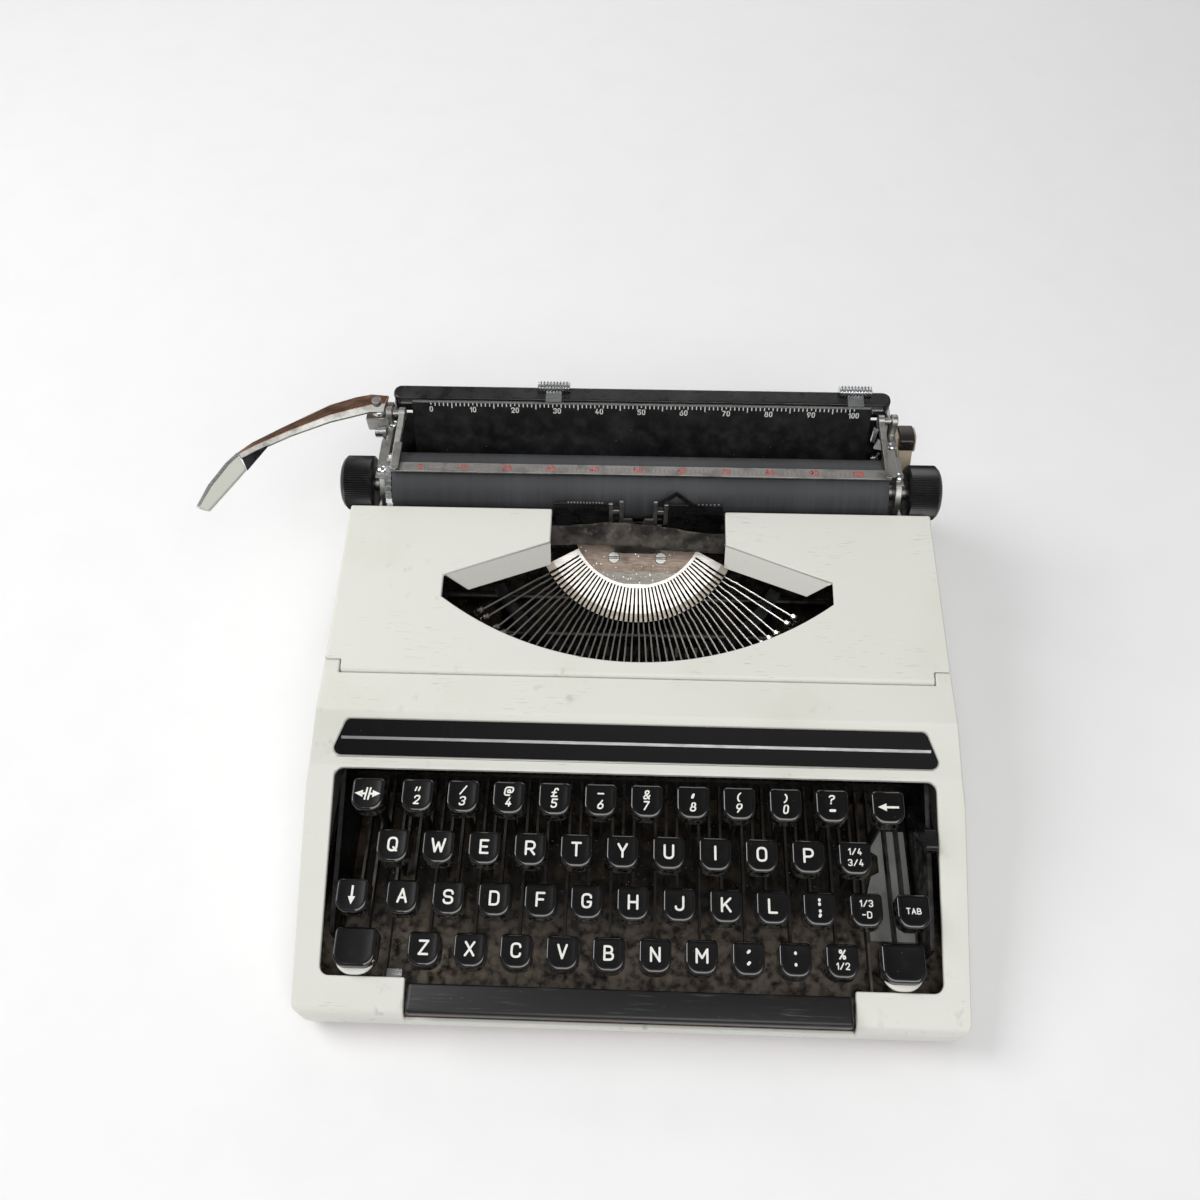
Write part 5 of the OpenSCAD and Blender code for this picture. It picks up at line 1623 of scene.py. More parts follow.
@dataclass
class TypeBasket:
    """Segment, typebars, guides, spools and the ink ribbon."""

    bar_count: int = 42
    bar_step: float = 2.78
    bar_h_index: int = 21
    pivot_r: float = 45.0
    rest: float = 33.0
    bar_len: float = 53.0
    bar_size: Span = (0.8, 3.6)
    section_u: Row = (1.0, 1.0, 0.5, -0.5, -1.0, -1.0)
    section_w: Row = (-1.0, 0.86, 1.0, 1.0, 0.86, -1.0)
    straight: float = 10.0
    drawn_in: float = 0.92
    jog_at: float = 16.0
    jog: float = 0.3
    jog_run: float = 2.0
    outer_reach: float = 7.0
    outer_from: float = 0.3
    outer_power: float = 1.5
    inner_short: float = 3.0
    inner_from: float = 0.35
    inner_to: float = 1.02
    inner_fade: float = 0.2
    inner_least: float = 0.2
    taper_at: Span = (0.0, 20.0)
    taper: Place = (1.0, 0.9, 0.72)
    slug_height: Row = (-3.0, -2.4, -0.6, -0.2, 1.4, 1.8, 3.5, 4.2)
    slug_wide: Row = (1.0, 1.4, 1.4, 1.1, 1.1, 1.4, 1.35, 0.7)
    slug_deep: Row = (1.2, 1.75, 1.75, 1.4, 1.4, 1.75, 1.7, 1.0)
    slug_back: float = 0.75
    land_r: Span = (35.6, 44.2)
    land_z: Span = (1.9, 2.2)
    land_gap: float = 0.86
    plate_r: float = 34.0
    plate_chord: float = -13.0
    plate_top: float = 2.3
    plate_thick: float = 0.4
    screw_edge: float = 0.3
    guide_edge: float = 0.2
    post_edge: float = 0.3
    guide_y: float = 80.2
    guide_top: float = 88.0
    teeth_x: tuple[Place, ...] = ((-34.0, -16.9, 1.5), (29.0, 40.0, 1.9))
    tooth_half: float = 0.35
    tooth_y: Span = (0.15, 0.85)
    tooth_z: Span = (-1.6, 0.5)
    post_x: Outline = ((7.2, 9.2), (12.4, 14.4), (9.2, 12.4))
    post_y: Span = (78.9, 80.1)
    post_z: Outline = ((74.0, 91.5), (74.0, 89.5), (82.0, 84.5))
    mid_y: float = 74.0
    mid_z: float = 71.0
    ribbon_w: float = 12.7
    ribbon_tilt: float = 4.0
    spool_x: float = 113.0
    spool_y: float = 45.0
    ribbon_spool_z: float = 63.8
    pack_r: float = 13.6
    turn_x: float = 46.0
    turn_back: float = 1.2
    turn_drop: float = 2.0
    rise_rate: float = 1.6
    leans: Place = (28.0, 12.0, 0.0)
    ripples: tuple[Row, ...] = ((0.35, 0.21, 3.0, 0.0), (0.25, 0.53, 0.0, 1.3))
    stations: int = 161
    threads: int = 13
    tape_thick: float = 0.12

    def build(self) -> None:
        """Dresses the basket and lays the ribbon."""
        for node, finish in (
            ("type_segment", SEGMENT_STEEL), ("type_rest", REST_BLACK), ("type_guide", STEEL),
            ("ribbon_vibrator", STEEL), ("spool_cups", SHEET_BLACK), ("left_spool", GUIDE_BLACK),
            ("right_spool", GUIDE_BLACK),
        ):
            paint_node(node, finish)
        dress(eased_copy("segment_screws", self.screw_edge), "frame", Slot.STEEL, STEEL, "segment_screws")
        self.typebars()
        self.lands()
        self.centre_plate()
        self.card_guide()
        self.ribbon()

    def bar_shapes(self, index: np.ndarray) -> tuple[Shape, Shape]:
        """Bars and slugs of some places of the fan.

        A bar leaves its pivot along its own spoke, then its plan turns to a share of the spoke's
        angle; a small jog shifts it sideways; its section tapers. All bars rise at the rest angle. The
        outermost reach farther, by a power of their angle, and those between fall a little short.
        A slug is a row of eight-sided rings with a waist between its two types.

        Args:
            index: places in the fan.

        Returns:
            The bars and the slugs, in the frame.
        """
        turn = np.radians((index - (self.bar_count - 1) / 2) * self.bar_step)[:, None]
        edge = np.minimum(index, self.bar_count - 1 - index)[:, None]
        final = turn * np.where(edge < 2, 1.0, self.drawn_in)
        cos, sin = math.cos(math.radians(self.rest)), math.sin(math.radians(self.rest))
        jogged, last = self.jog_at + self.jog_run, self.bar_len - 1
        s = np.array([0, self.straight, self.jog_at, jogged, 30, last])[None]
        aside = np.abs(turn)
        reach = self.outer_reach * np.clip(aside - self.outer_from, 0, 1) ** self.outer_power
        inner = np.clip((aside - self.inner_from) / self.inner_fade, 0, 1)
        inner = inner * np.clip((self.inner_to - aside) / self.inner_fade, self.inner_least, 1)
        reach = reach - self.inner_short * inner
        s = s + reach * np.clip((s - jogged) / (last - jogged), 0, 1)
        first, later = np.minimum(s, self.straight) * cos, np.maximum(s - self.straight, 0) * cos
        shift = self.jog * np.clip((s - self.jog_at) / self.jog_run, 0, 1) * np.sign(turn)
        way = np.where(s > self.straight, final, turn)
        plan_x = np.sin(turn) * (self.pivot_r + first) + np.sin(final) * later + np.cos(way) * shift
        plan_y = -np.cos(turn) * (self.pivot_r + first) - np.cos(final) * later + np.sin(way) * shift
        middle = np.stack([plan_x, plan_y, np.broadcast_to(s * sin, plan_x.shape)], -1)
        across = np.stack([np.cos(way), np.sin(way), 0 * way], -1)
        up = np.stack([-np.sin(way) * sin, np.cos(way) * sin, np.full_like(way, cos)], -1)
        taper = np.interp(s, [*self.taper_at, self.bar_len], self.taper)[..., None, None]
        half = np.array(self.bar_size) / 2
        u = np.array(self.section_u)[None, None, :, None] * half[0]
        w = np.array(self.section_w)[None, None, :, None] * half[1] * taper
        rings = middle[:, :, None] + across[:, :, None] * u + up[:, :, None] * w
        bars = tubes(rings)
        out = np.cross(across[:, -1], up[:, -1])
        height, wide, deep = (np.array(v) for v in (self.slug_height, self.slug_wide, self.slug_deep))
        quarter = np.array([[1, -0.5], [1, 0.5], [0.5, 1], [-0.5, 1]])
        ring = np.concatenate([quarter, -quarter])
        side = ring[None, :, 0] * wide[:, None]
        fore = ring[None, :, 1] * deep[:, None] - self.slug_back
        spread = [across[:, -1], -out, up[:, -1]]
        parts = [side, fore, np.repeat(height[:, None], 8, 1)]
        slug = middle[:, -1, None, None] + sum(
            axis[:, None, None] * part[None, ..., None] for axis, part in zip(spread, parts)
        )
        return tuple(
            mapped(made, SEGMENT_ORIGIN, SEGMENT_AXES) for made in (bars, tubes(slug))
        )

    def typebars(self) -> None:
        """The fan without its one free bar, then that bar."""
        rest = np.delete(np.arange(self.bar_count), self.bar_h_index)
        for name, index in (("typebars", rest), ("typebar_h", np.array([self.bar_h_index]))):
            bars, slugs = self.bar_shapes(index)
            dress(bars.mesh(f"{name}_drawn", FINE_SMOOTH), BODY_OF[name], Slot.STEEL, TYPE_STEEL, name)
            dress(slugs.mesh(f"{name}_slugs", FINE_SMOOTH), BODY_OF[name], Slot.CHROME, SLUG_STEEL)

    def lands(self) -> None:
        """Bright lands between the slots: four-sided wedges laid on the segment's face."""
        turn = np.radians((np.arange(self.bar_count) - (self.bar_count - 1) / 2) * self.bar_step)[:, None]
        radius = np.array(self.land_r)[None]
        spoke = np.stack([np.sin(turn) * radius, -np.cos(turn) * radius], -1)
        aside = np.stack([np.cos(turn), np.sin(turn)], -1) * self.land_gap / 2
        left, right = (spoke + aside)[:-1], (spoke - aside)[1:]
        flat = np.stack([left[:, 0], left[:, 1], right[:, 1], right[:, 0]], 1)
        ends = [np.pad(flat, ((0, 0), (0, 0), (0, 1)), constant_values=z) for z in self.land_z]
        rings = np.stack(ends, 1)
        made = mapped(tubes(rings), SEGMENT_ORIGIN, SEGMENT_AXES)
        dress(made.mesh("segment_lands", None), "frame", Slot.STEEL, SEGMENT_STEEL)

    def centre_plate(self) -> None:
        """Tinted plate inside the segment: a disc cut by a chord, as rows from the chord to the rim."""
        rows, cols = 24, 25
        y = np.linspace(self.plate_chord, -self.plate_r + 0.6, rows)
        half = np.sqrt(np.maximum(self.plate_r**2 - y**2, 0.2))
        flat = np.stack([half[:, None] * np.linspace(-1, 1, cols), np.repeat(y[:, None], cols, 1)], -1)
        points = np.column_stack([flat.reshape(-1, 2), np.full(rows * cols, self.plate_top)])
        plate = mapped(Shape(points, [grid_faces(rows, cols)[:, ::-1]]), SEGMENT_ORIGIN, SEGMENT_AXES)
        dress(inked(plate, "segment_centre_plate", self.plate_thick), "frame", Slot.STEEL, PLATE_TINT)

    def card_guide(self) -> None:
        """Card guide: burnished sheet, bright line teeth on its edge and two H-shaped posts."""
        sheet = eased_copy("card_guide", self.guide_edge)
        dress(sheet, "frame", Slot.BLACK, GUIDE_BLACK, "card_guide")
        x = np.concatenate([np.arange(*span) for span in self.teeth_x])
        shift = np.column_stack([x, np.full(len(x), self.guide_y), np.full(len(x), self.guide_top)])
        corners = zip((-self.tooth_half, self.tooth_half), self.tooth_y, self.tooth_z)
        teeth = blocks(*(shift + corner for corner in corners))
        dress(teeth.mesh("card_guide_teeth", None), "frame", Slot.CHROME, CHROME)
        posts = []
        for side in (-1, 1):
            span, heights = np.sort(side * np.array(self.post_x), axis=1), np.array(self.post_z)
            posts.append(blocks(*(
                np.column_stack([span[:, k], np.full(len(span), self.post_y[k]), heights[:, k]])
                for k in (0, 1)
            )))
        made = joined(posts).mesh("guide_posts")
        dress(ease(made, self.post_edge), "frame", Slot.CHROME, STEEL)

    def ribbon(self) -> None:
        """The tape: stations from spool to spool, each with a middle, a lean and a ripple.

        Inner stations run from the middle to the turn, outer ones on to the wound pack, with
        smooth steps of depth, height and lean. Ripples are sines along the tape that fade to the
        spools. The tape is a grid of stations by points across its width.
        """
        turn_y = self.mid_y - self.turn_back
        reach = np.array([self.turn_x - self.spool_x, turn_y - self.spool_y])
        angle = math.atan2(reach[1], reach[0]) - math.acos(self.pack_r / np.hypot(*reach))
        touch = np.array([self.spool_x, self.spool_y])
        touch += self.pack_r * np.array([math.cos(angle), math.sin(angle)])
        s = np.linspace(-1, 1, self.stations)
        u = np.abs(s)
        inner = u <= 0.5
        t = np.where(inner, 2 * u, 2 * u - 1)
        soft = t * t * (3 - 2 * t)
        rise = np.minimum(1, t * self.rise_rate)
        rise = rise * rise * (3 - 2 * rise)
        x = np.sign(s) * np.where(inner, self.turn_x * t, self.turn_x + (touch[0] - self.turn_x) * t)
        y = np.where(inner, self.mid_y + (turn_y - self.mid_y) * soft, turn_y + (touch[1] - turn_y) * t)
        low = self.mid_z - self.turn_drop
        z = np.where(inner, self.mid_z - self.turn_drop * soft, low + (self.ribbon_spool_z - low) * rise)
        z = z - self.ribbon_tilt * np.sin(np.pi * s) * (1 - u)
        a, b, c = self.leans
        lean = np.radians(np.where(inner, a + (b - a) * soft, b + (c - b) * soft))
        across = np.linspace(-0.5, 0.5, self.threads)[None]
        fade = np.clip(1.2 - u, 0, 1)[:, None]
        ripple = fade * sum(
            high * np.sin(x[:, None] * rate + skew * across + phase)
            for high, rate, skew, phase in self.ripples
        )
        along = self.ribbon_w * across
        points = np.stack([
            np.repeat(x[:, None], self.threads, 1),
            y[:, None] + along * np.sin(lean)[:, None] - ripple * np.cos(lean)[:, None],
            z[:, None] + along * np.cos(lean)[:, None] + ripple * np.sin(lean)[:, None],
        ], -1)
        step = np.linalg.norm(np.diff(points[:, self.threads // 2], axis=0), axis=1)
        length = np.concatenate([[0], np.cumsum(step)])
        faces = grid_faces(self.stations, self.threads)
        tape = Shape(points.reshape(-1, 3), [faces]).mesh("ink_ribbon_tape", 80)
        layer = tape.data.uv_layers.new(name="tape")
        uv = np.stack(np.broadcast_arrays(length[:, None], along), -1).reshape(-1, 2)
        corner = np.zeros(len(tape.data.loops), int)
        tape.data.loops.foreach_get("vertex_index", corner)
        layer.data.foreach_set("uv", uv[corner].ravel())
        cloth = tape.modifiers.new("tape_thickness", "SOLIDIFY")
        cloth.thickness = self.tape_thick * MM
        cloth.offset = 0.0
        dress(tape, "frame", Slot.RIBBON, TAPE, "ribbon")


@dataclass
class ReturnLever:
    """Return lever: hub, two-faced arm and finger pad, as stations from the hub to the tip."""

    pin: Span = (-134.0, 137.0)
    hub_r: float = 5.0
    hub_bore: float = 2.8
    hub_ease: float = 0.4
    hub_height: float = 2.8
    base: float = 88.8
    low: float = 91.4
    ridge: float = 94.4
    arm: tuple[Row, ...] = (
        (5.0, 6.2, 4.4, -0.6, 3.6, -4.4), (-4.0, 7.0, -3.0, -1.6, -3.6, -4.8),
        (-12.0, 4.8, -12.0, -4.6, -12.4, -8.0), (-24.3, -0.6, -23.0, -8.8, -22.6, -11.6),
        (-46.1, -16.1, -42.0, -19.8, -40.9, -21.2),
        (-59.3, -26.1, -57.2, -29.6, -56.2, -31.2), (-65.5, -33.0, -64.0, -35.0, -62.6, -36.4),
    )
    pad: tuple[Row, ...] = (
        (-65.6, -32.8, -63.9, -36.0, -58.8, -43.0), (-69.8, -39.3, -67.0, -40.8, -61.4, -48.4),
        (-75.6, -53.4, -72.9, -54.8, -66.1, -57.8), (-78.3, -66.4, -76.2, -67.4, -71.6, -68.7),
    )
    gusset: Outline = ((-62.6, -35.8), (-58.6, -43.2), (-50.9, -26.9))

    def strip(self, edges: np.ndarray, first: int, levels: Sequence[float]) -> Shape:
        """One face of the lever between two of its lines: four-sided rings from the hub outwards.

        Args:
            edges: the lines' points at each station, relative to the pin.
            first: column of the first line.
            levels: height of the face at its first and its second line.

        Returns:
            A closed strip.
        """
        a, b = (edges[:, k:k + 2] + self.pin for k in (first, first + 2))
        corners = [(a, self.low), (b, self.low), (b, levels[1]), (a, levels[0])]
        rings = np.stack([at_level(flat, z) for flat, z in corners], 1)
        return tubes(rings[None])

    def build(self) -> None:
        """Builds the arm's two faces, the pad with its edge, the gusset between them and the hub."""
        body = BODY_OF["return_lever"]
        arm, pad, top = np.array(self.arm), np.array(self.pad), self.ridge
        for name, edges, first, levels, width, slot, finish, nodes in (
            # The upper face carries the painted brown reflection
            ("upper_face", arm, 0, (top - 1.6, top), 0.3, Slot.CHROME, BROWN_REFLECTION_PLATE, ("return_lever",)),
            ("bevel", arm, 2, (top, self.low + 1), 0.25, Slot.CHROME, STEEL, ()),
            ("pad_edge", pad, 0, (self.low + 1.5, top), 0.2, Slot.CHROME, CHROME, ()),
            ("pad", pad, 2, (top, top - 1.2), 0.6, Slot.BEIGE, PAD_PALE, ()),
        ):
            made = self.strip(edges, first, levels).mesh(f"return_lever_{name}")
            dress(ease(made, width), body, slot, finish, *nodes)
        # The gusset under the join of arm and pad is black: painted shade and dark reflection there
        gusset = prism(np.array(self.gusset) + self.pin, self.low, top - 1.8)
        dress(ease(gusset.mesh("return_lever_gusset_painted_shade"), 0.2), body, Slot.BLACK, GUIDE_BLACK)
        z, r = self.base, self.hub_r
        bore, soft, upper = self.hub_bore, self.hub_ease, z + self.hub_height
        hub = np.array([
            [z, bore, 0], [z, r - soft, 0], [z + soft, r, 0], [upper - soft, r, 0], [upper, r - soft, 0],
            [upper, bore, 0],
        ])
        turned = turned_up(hub, 48, (*self.pin, 0))
        dress(turned.mesh("return_lever_hub", ROUND_SMOOTH), body, Slot.CHROME, CHROME)


@dataclass
class Carriage:
    """Platen, knobs, paper table, bail, stops, levers and their scales."""

    platen_y: float = 97.5
    platen_z: float = 79.0
    platen_r: float = 15.5
    platen_half: float = 120.5
    core_r: float = 12.05
    knob_in: float = 131.0
    knob_out: float = 147.0
    knob_r: float = 13.5
    unit: float = 25.4 / 12
    mark_z: Span = (-0.04, 0.05)
    table_zero: float = -105.4
    table_ends: Outline = ((-2.0, -0.9), (-3.6, -0.9), (-2.6, -0.9))
    table_tick: float = 0.5
    table_figure: Span = (2.9, -4.3)
    lip_short: float = 0.5
    lip_y: Span = (-0.85, -0.05)
    lip_z: Span = (-0.05, 0.15)
    table_top: Span = (133.8, 99.9)
    table_low: Span = (117.0, 66.0)
    table_half: float = 115.0
    bail_zero: float = -106.5
    bail_ends: Outline = ((1.4, 1.5), (1.2, 4.6), (1.2, 3.6))
    bail_tick: float = 0.4
    bail_figure: Span = (3.0, 2.9)
    bail_top: float = 96.2
    bail_y: float = 92.0
    arm_plate: Span = (4.0, 16.0)
    arm_radii: Row = (1.6, 1.6, 0.8, 0.8)
    arm_levels: Outline = ((0.0, 97.0), (0.0, 98.0), (0.25, 98.3))
    arm_x: Span = (-118.6, 121.6)
    arm_y: float = 100.5
    end_top: float = 89.5
    flange: float = 0.8
    flanges: tuple[Outline, ...] = (
        ((-129.4, 92.0), (-124.4, 116.5)), ((124.4, 93.0), (128.4, 111.0))
    )
    screw_places: tuple[Place, ...] = (
        (-124.9, 127.0, -0.4), (124.9, 118.0, -0.4), (-126.6, 97.0, 0.6), (126.2, 98.0, 0.6)
    )
    cheek: Outline = (
        (119.0, 64.0), (120.0, 63.4), (135.6, 87.4), (135.6, 88.8), (134.6, 88.8)
    )
    cheek_x: Span = (-124.4, 115.3)
    cheek_width: float = 9.0
    works_at: Place = (0.0, 118.4, 65.4)
    stud: tuple[Place, ...] = (
        (0, 0.2, 0), (0, 1.9, 0), (2.2, 1.9, 0), (2.7, 1.3, 0), (2.7, 0.2, 0)
    )
    stud_at: Place = (119.5, 10.0, 0.0)
    links_low: float = 0.5
    links: tuple[tuple[Outline, float], ...] = (
        (((116.2, 5.0), (117.0, 4.4), (121.8, 13.6), (121.0, 14.2)), 3.0),
        (((118.4, 16.0), (122.8, 15.2), (123.6, 19.2), (120.0, 21.0)), 2.4),
        (((116.4, 20.0), (118.2, 19.4), (119.4, 27.0), (117.4, 27.6)), 2.8),
        (((121.0, 22.0), (123.8, 21.4), (123.8, 28.4), (121.6, 28.8)), 2.0),
    )
    rib_pitch: float = 1.64
    rib_depth: float = 0.15
    thumb_half: float = 8.2
    thumb_end: float = 0.8
    thumb_radii: Row = (1.0, 1.0, 1.4, 1.4)
    thumb: Span = (6.0, 4.2)
    thumb_at: Span = (146.2, 97.8)
    neck: Outline = ((136.2, 94.6), (143.6, 95.6), (143.6, 97.4), (136.2, 96.0))
    neck_half: float = 4.0
    clip: Outline = ((135.8, 90.2), (138.2, 90.2), (138.2, 95.6), (135.8, 95.6))
    clip_x: Span = (-10.0, 6.0)
    cap: Outline = (
        (120.4, 83.0), (122.6, 81.0), (132.0, 84.4), (134.0, 87.4), (126.5, 89.4), (122.0, 88.6)
    )
    cap_x: Span = (129.9, 137.6)
    stem: Outline = ((113.2, 71.0), (117.4, 69.6), (126.0, 81.5), (121.0, 84.0))
    stem_x: Span = (130.1, 137.0)

    def build(self) -> None:
        """Builds the carriage from the bed up."""
        for node, finish in (
            ("carriage_bed", STEEL), ("carriage_rails", STEEL), ("escapement_wheel", STEEL),
            ("spring_drum", STEEL), ("bell", CHROME), ("feed_rollers", FOOT_RUBBER),
            ("platen_core", STEEL), ("platen_ratchet", CHROME), ("margin_rail", CHROME),
            ("line_space_selector", CHROME),
        ):
            paint_node(node, finish)
        for node, width, slot, finish in (
            ("left_end_plate", 0.4, Slot.CHROME, STEEL), ("right_end_plate", 0.4, Slot.CHROME, STEEL),
            ("paper_table", 0.3, Slot.BLACK, SHEET_BLACK), ("back_bar", 1.2, Slot.BLACK, SHEET_BLACK),
            ("paper_bail", 0.2, Slot.CHROME, STEEL),
        ):
            dress(eased_copy(node, width), BODY_OF[node], slot, finish, node)
        self.platen()
        self.knobs()
        self.table_scale()
        self.bail_scale()
        self.bail_plates()
        self.end_details()
        self.release_lever()
        self.margin_stops()
        ReturnLever().build()

    def platen(self) -> None:
        """The rubber: a closed profile with eased ends, carried round the axis."""
        h, r = self.platen_half, self.platen_r
        half = np.array([[h, self.core_r], [h, r - 0.5], [h - 0.15, r - 0.15], [h - 0.5, r], [h - 3, r]])
        profile = np.concatenate([half, half[::-1] * [-1, 1]])
        tube = lathe(np.pad(profile, ((0, 0), (0, 1))), 96, self.platen_y, self.platen_z)
        dress(tube.mesh("platen_rubber_tube", ROUND_SMOOTH), "platen", Slot.RUBBER, RUBBER, "platen_rubber")

    def knobs(self) -> None:
        """Knobs: a knurled rim between eased faces, and a metal screw in each end."""
        a, b, r = self.knob_in, self.knob_out, self.knob_r
        rim = np.array([
            [a, 4.1, 0], [a, r - 2.0, 0], [a + 0.3, r - 1.3, 0], [a + 1.0, r - 0.8, 0],
            [a + 1.2, r - 0.1, 0.6], [a + 1.6, r, 0.7], [b - 2.4, r, 0.7], [b - 1.9, r - 0.1, 0.6],
            [b - 1.6, r - 0.8, 0], [b - 0.7, r - 1.3, 0], [b, r - 2.6, 0], [b - 0.2, 6.5, 0],
            [b - 0.9, 6.0, 0], [b - 0.9, 4.1, 0],
        ])
        screw = np.array([
            [b - 2.5, 0.2, 0], [b - 2.5, 3.6, 0], [b - 0.9, 3.6, 0], [b - 0.5, 3.2, 0],
            [b - 0.3, 2.0, 0], [b - 0.25, 0.2, 0],
        ])
        for side, name in ((1, "right"), (-1, "left")):
            for profile, ribs, around, title, slot, finish, nodes in (
                (rim, 72, 432, "knob", Slot.BLACK, KNOB_BLACK, (f"{name}_knob",)),
                (screw, 0, 32, "knob_screw", Slot.STEEL, CHROME, ()),
            ):
                made = lathe(profile * [side, 1, 1], around, self.platen_y, self.platen_z, ribs)
                dress(made.mesh(f"{name}_{title}_turned", ROUND_SMOOTH), "platen", slot, finish, *nodes)

    def marks(self, zero: float, ends: Sequence[Sequence[float]], wide: float) -> Shape:
        """Ticks of a scale from 0 to 100 in a plane: upright marks whose ends depend on their place.

        Args:
            zero: x of the first tick.
            ends: lower and upper end of the marks at tens, at fives and elsewhere.
            wide: width of a mark.

        Returns:
            Low blocks on the plane z = 0.
        """
        n = np.arange(101)
        kind = np.where(n % 10 == 0, 0, np.where(n % 5 == 0, 1, 2))
        low, high = np.array(ends)[kind].T
        x = zero + n * self.unit
        return blocks(
            np.column_stack([x - wide / 2, low, np.full(len(n), self.mark_z[0])]),
            np.column_stack([x + wide / 2, high, np.full(len(n), self.mark_z[1])]),
        )

    def numbers(self, zero: float, height: float, y: float) -> Shape:
        """Numbers 0 to 100 in tens, set in a plane.

        Args:
            zero: x of the first number.
            height: height of a figure.
            y: middle of the figures.

        Returns:
            Flat faces just over the plane z = 0.
        """
        parts = []
        for n in range(0, 101, 10):
            text = lettering(str(n), height)
            place = [zero + n * self.unit, y, self.mark_z[1]]
            parts.append(Shape(text.points + place, text.faces))
        return joined(parts)

    def table_axes(self) -> np.ndarray:
        """Axes of the paper table's slanted face."""
        return slope_axes(*(np.array(self.table_top) - self.table_low))

    def table_scale(self) -> None:
        """White scale on the paper table, on its slanted front face, and the bright lip above it."""
        axes, origin = self.table_axes(), (0, *self.table_top)
        body = BODY_OF["paper_table"]
        ticks = mapped(self.marks(self.table_zero, self.table_ends, self.table_tick), origin, axes)
        dress(ticks.mesh("table_scale_ticks", None), body, Slot.CHROME, SCALE_WHITE)
        text = mapped(self.numbers(self.table_zero, *self.table_figure), origin, axes)
        dress(inked(text, "table_scale_numbers"), body, Slot.CHROME, SCALE_WHITE)
        half = self.table_half - self.lip_short
        lip = blocks(*(
            np.array([[x, y, z]]) for x, y, z in zip((-half, half), self.lip_y, self.lip_z)
        ))
        dress(mapped(lip, origin, axes).mesh("table_bright_lip", None), body, Slot.CHROME, CHROME)

    def bail_scale(self) -> None:
        """Red figures and reddish-grey marks on the bail's strip."""
        origin = (0, self.bail_y, self.bail_top)
        ticks = mapped(self.marks(self.bail_zero, self.bail_ends, self.bail_tick), origin, np.eye(3))
        dress(ticks.mesh("bail_scale_ticks", None), "bail", Slot.CHROME, GREY_INK)
        text = mapped(self.numbers(self.bail_zero, *self.bail_figure), origin, np.eye(3))
        dress(inked(text, "bail_scale_numbers"), "bail", Slot.CHROME, RED_INK)

    def bail_plates(self) -> None:
        """Plates on the bail's arms: rounded outlines with an eased upper edge."""
        plate = terraced(self.arm_plate, self.arm_radii, self.arm_levels, (0, self.arm_y))
        plates = plate.copies(np.array([[x, 0, 0] for x in self.arm_x]))
        dress(plates.mesh("bail_end_plates", ROUND_SMOOTH), "bail", Slot.CHROME, STEEL)

    def end_details(self) -> None:
        """Flanges, screws and cheeks at the ends of the carriage."""
        z = self.end_top
        flat = np.array(self.flanges)
        low, high = at_level(flat[:, 0], z), at_level(flat[:, 1], z + self.flange)
        flanges = blocks(low, high).mesh("end_plate_flanges")
        dress(ease(flanges, 0.35), BODY_OF["left_end_plate"], Slot.CHROME, STEEL)
        dome = np.array([
            [z, 0.2, 0], [z, 2.6, 0], [z + 0.9, 2.6, 0], [z + 1.5, 2.1, 0], [z + 1.9, 1.0, 0],
            [z + 2, 0.2, 0],
        ])
        domes = turned_up(dome, 24, (0, 0, 0)).copies(np.array(self.screw_places))
        dress(domes.mesh("end_plate_screws", ROUND_SMOOTH), BODY_OF["left_end_plate"], Slot.CHROME, CHROME)
        # Cheeks near-black: painted shade at the ends of the paper table
        cheeks = joined([bar_along_x(self.cheek, x, x + self.cheek_width) for x in self.cheek_x])
        dress(cheeks.mesh("table_end_cheeks"), BODY_OF["left_end_plate"], Slot.BLACK, WELL_SHADE_BLACK)
        self.finger_works()

    def finger_works(self) -> None:
        """Small works inside the right end: a slotted stud, spring strips and links on the cheek."""
        body = BODY_OF["right_end_plate"]
        turned = turned_up(np.array(self.stud), 24, self.stud_at)
        bars = [prism(outline, self.links_low, high) for outline, high in self.links]
        for name, shapes, slot, finish in (
            ("paper_finger_works", [turned, *bars[::2]], Slot.CHROME, CHROME),
            ("paper_finger_links", bars[1::2], Slot.STEEL, PRIMER),
        ):
            made = mapped(joined(shapes), self.works_at, self.table_axes()).mesh(name, ROUND_SMOOTH)
            dress(ease(made, 0.2), body, slot, finish)

    def margin_stops(self) -> None:
        """Margin stops: a ribbed thumb piece carried along X, a neck and a clip on the rail.

        The ribs shrink the thumb piece's section by a share of one minus the cosine of the rib's turn.
        """
        across = np.linspace(-self.thumb_half, self.thumb_half, 91)
        dip = 1 - self.rib_depth * (1 - np.cos(2 * np.pi * across / self.rib_pitch))
        dip[[0, -1]] = self.thumb_end
        flat = rounded_outline(*self.thumb, self.thumb_radii, steps=3)
        section = flat[None] * dip[:, None, None] + self.thumb_at
        thumb = np.concatenate([np.repeat(across[:, None, None], len(flat), 1), section], -1)
        stop = joined([
            tubes(thumb[None]), bar_along_x(self.neck, -self.neck_half, self.neck_half),
            bar_along_x(self.clip, *self.clip_x),
        ])
        for name in ("left_margin_stop", "right_margin_stop"):
            low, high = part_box(name)
            middle = np.array([[(low[0] + high[0]) / 2 / MM, 0, 0]])
            made = stop.copies(middle).mesh(f"{name}_ribbed", ROUND_SMOOTH)
            dress(made, BODY_OF[name], Slot.CHROME, CHROME, name)

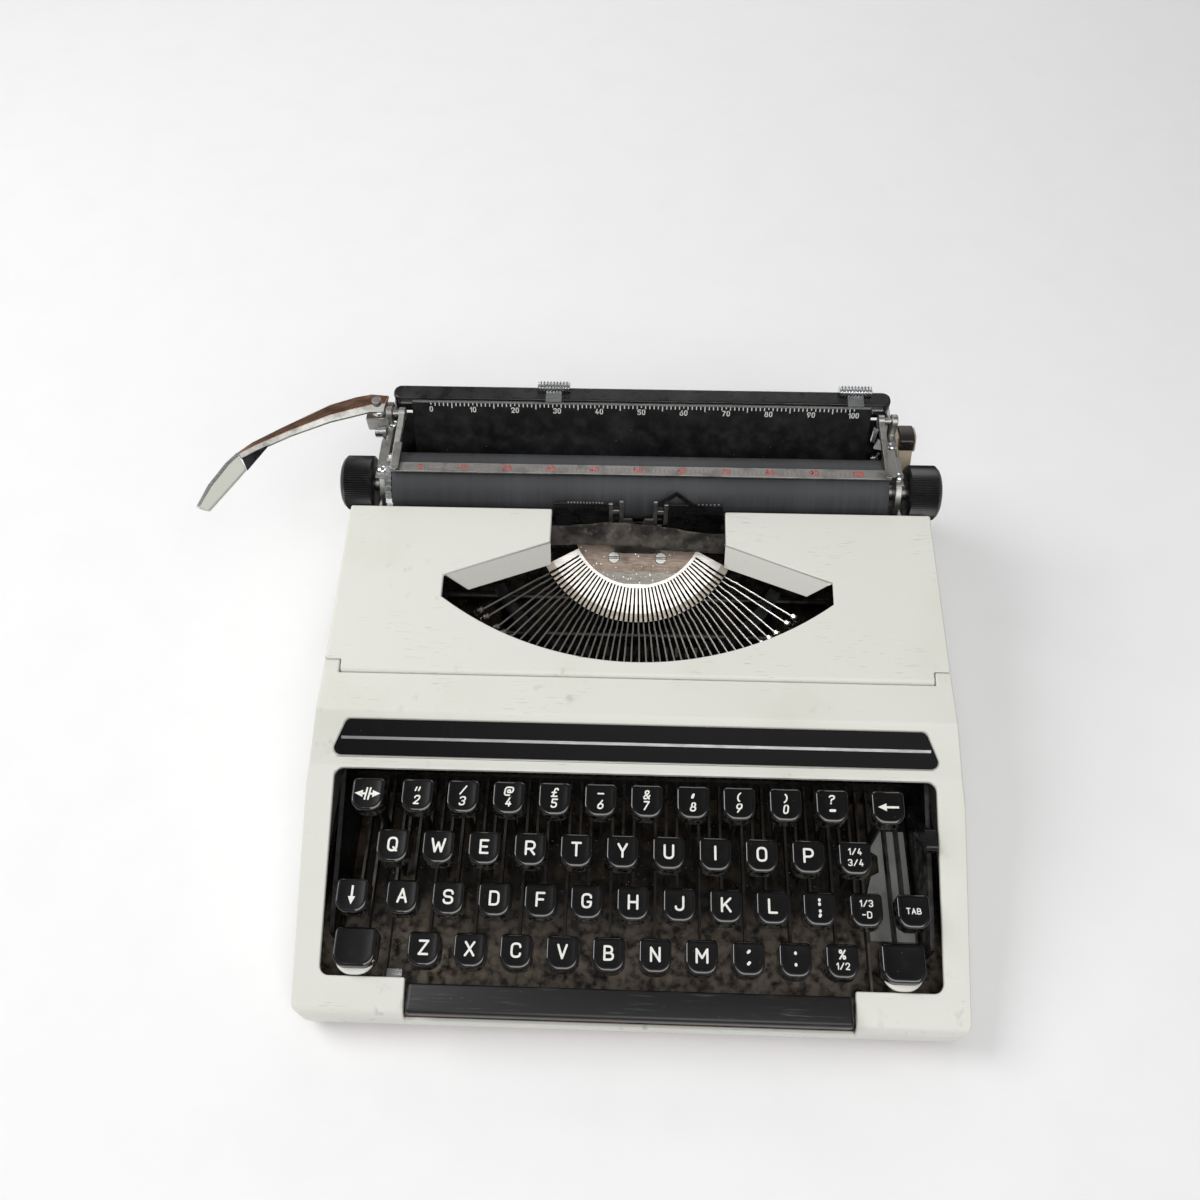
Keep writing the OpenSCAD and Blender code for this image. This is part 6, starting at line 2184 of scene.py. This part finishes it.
    def release_lever(self) -> None:
        """Paper release: the CAD lever, its brown finger cap and the stem between them."""
        dress(eased_copy("paper_release_lever", 0.6), "release", Slot.BEIGE, BEIGE, "paper_release_lever")
        for name, section, span, width, slot, finish in (
            ("cap", self.cap, self.cap_x, 0.9, Slot.BLACK, CAP_BROWN),
            ("stem", self.stem, self.stem_x, 0.6, Slot.BEIGE, BEIGE),
        ):
            made = bar_along_x(section, *span).mesh(f"release_lever_{name}")
            dress(ease(made, width), "release", slot, finish)


@dataclass
class Studio:
    """Camera, lamps, floor and background."""

    eye: Place = (-2.27, -238.90, 515.58)
    right: Place = (0.99935, 0.03334, -0.01344)
    down: Place = (0.02127, -0.84986, -0.52658)
    forward: Place = (-0.02898, 0.52595, -0.85002)
    lens: float = 33.0
    world_light: float = 0.18
    aim: Place = (0.0, 0.0, 0.05)
    lamps: tuple[tuple[str, Place, float, float], ...] = (
        ("window_lamp", (-1.0, 0.25, 1.1), 0.8, 10.5),
        ("front_lamp", (0.2, -0.8, 1.3), 1.2, 13.0),
        ("back_lamp", (0.1, 1.4, 0.8), 0.8, 4.0),
    )

    def build(self) -> None:
        """Sets up the stage."""
        self.camera()
        for lamp in self.lamps:
            self.lamp(*lamp)
        self.floor()
        self.world()
        bpy.context.scene.view_settings.view_transform = "Standard"

    def camera(self) -> None:
        """A camera with the photograph's place, turn and lens; its axes are right, up and back."""
        data = bpy.data.cameras.new("photo_camera")
        data.lens = self.lens
        data.sensor_width = 36.0
        data.sensor_fit = "HORIZONTAL"
        data.clip_start = 0.01
        made = bpy.data.objects.new("photo_camera", data)
        axes = np.array([self.right, [-v for v in self.down], [-v for v in self.forward]])
        turn = Matrix(axes.T.tolist()).to_4x4()
        made.matrix_world = Matrix.Translation(Vector(self.eye) * MM) @ turn
        bpy.context.scene.collection.objects.link(made)
        bpy.context.scene.camera = made

    def lamp(self, name: str, place: Sequence[float], size: float, power: float) -> None:
        """A soft square lamp that faces the machine.

        Args:
            name: name of the lamp.
            place: where it hangs, in metres.
            size: side of the lamp, in metres.
            power: watts.
        """
        data = bpy.data.lights.new(name, "AREA")
        data.size = size
        data.energy = power
        made = bpy.data.objects.new(name, data)
        aim = (Vector(self.aim) - Vector(place)).to_track_quat("-Z", "Y")
        made.matrix_world = Matrix.Translation(Vector(place)) @ aim.to_matrix().to_4x4()
        bpy.context.scene.collection.objects.link(made)

    def floor(self) -> None:
        """A wide paper floor at the table's height."""
        edge = np.linspace(-4000, 4000, 5)
        x, y = np.meshgrid(edge, edge, indexing="ij")
        points = np.stack([x, y, np.zeros_like(x)], -1).reshape(-1, 3)
        made = Shape(points, [grid_faces(5, 5)[:, ::-1]]).mesh("paper_floor", None)
        made.data.materials.append(FLOOR.material())

    def world(self) -> None:
        """Plain white light from all round."""
        world = bpy.data.worlds.new("white_room")
        world.use_nodes = True
        tree = world.node_tree
        tree.nodes.clear()
        sky = add_node(tree, "ShaderNodeBackground", {0: (1.0, 1.0, 1.0, 1.0), 1: self.world_light})
        add_node(tree, "ShaderNodeOutputWorld", {0: sky.outputs[0]})
        bpy.context.scene.world = world


def main() -> None:
    """Builds the looks piece by piece."""
    logging.basicConfig(level=logging.INFO, format="%(name)s: %(message)s")
    for part in (Casing(), Keyboard(), TypeBasket(), Carriage(), Studio()):
        LOG.info("building %s", type(part).__name__)
        part.build()


if __name__ == "__main__":
    main()
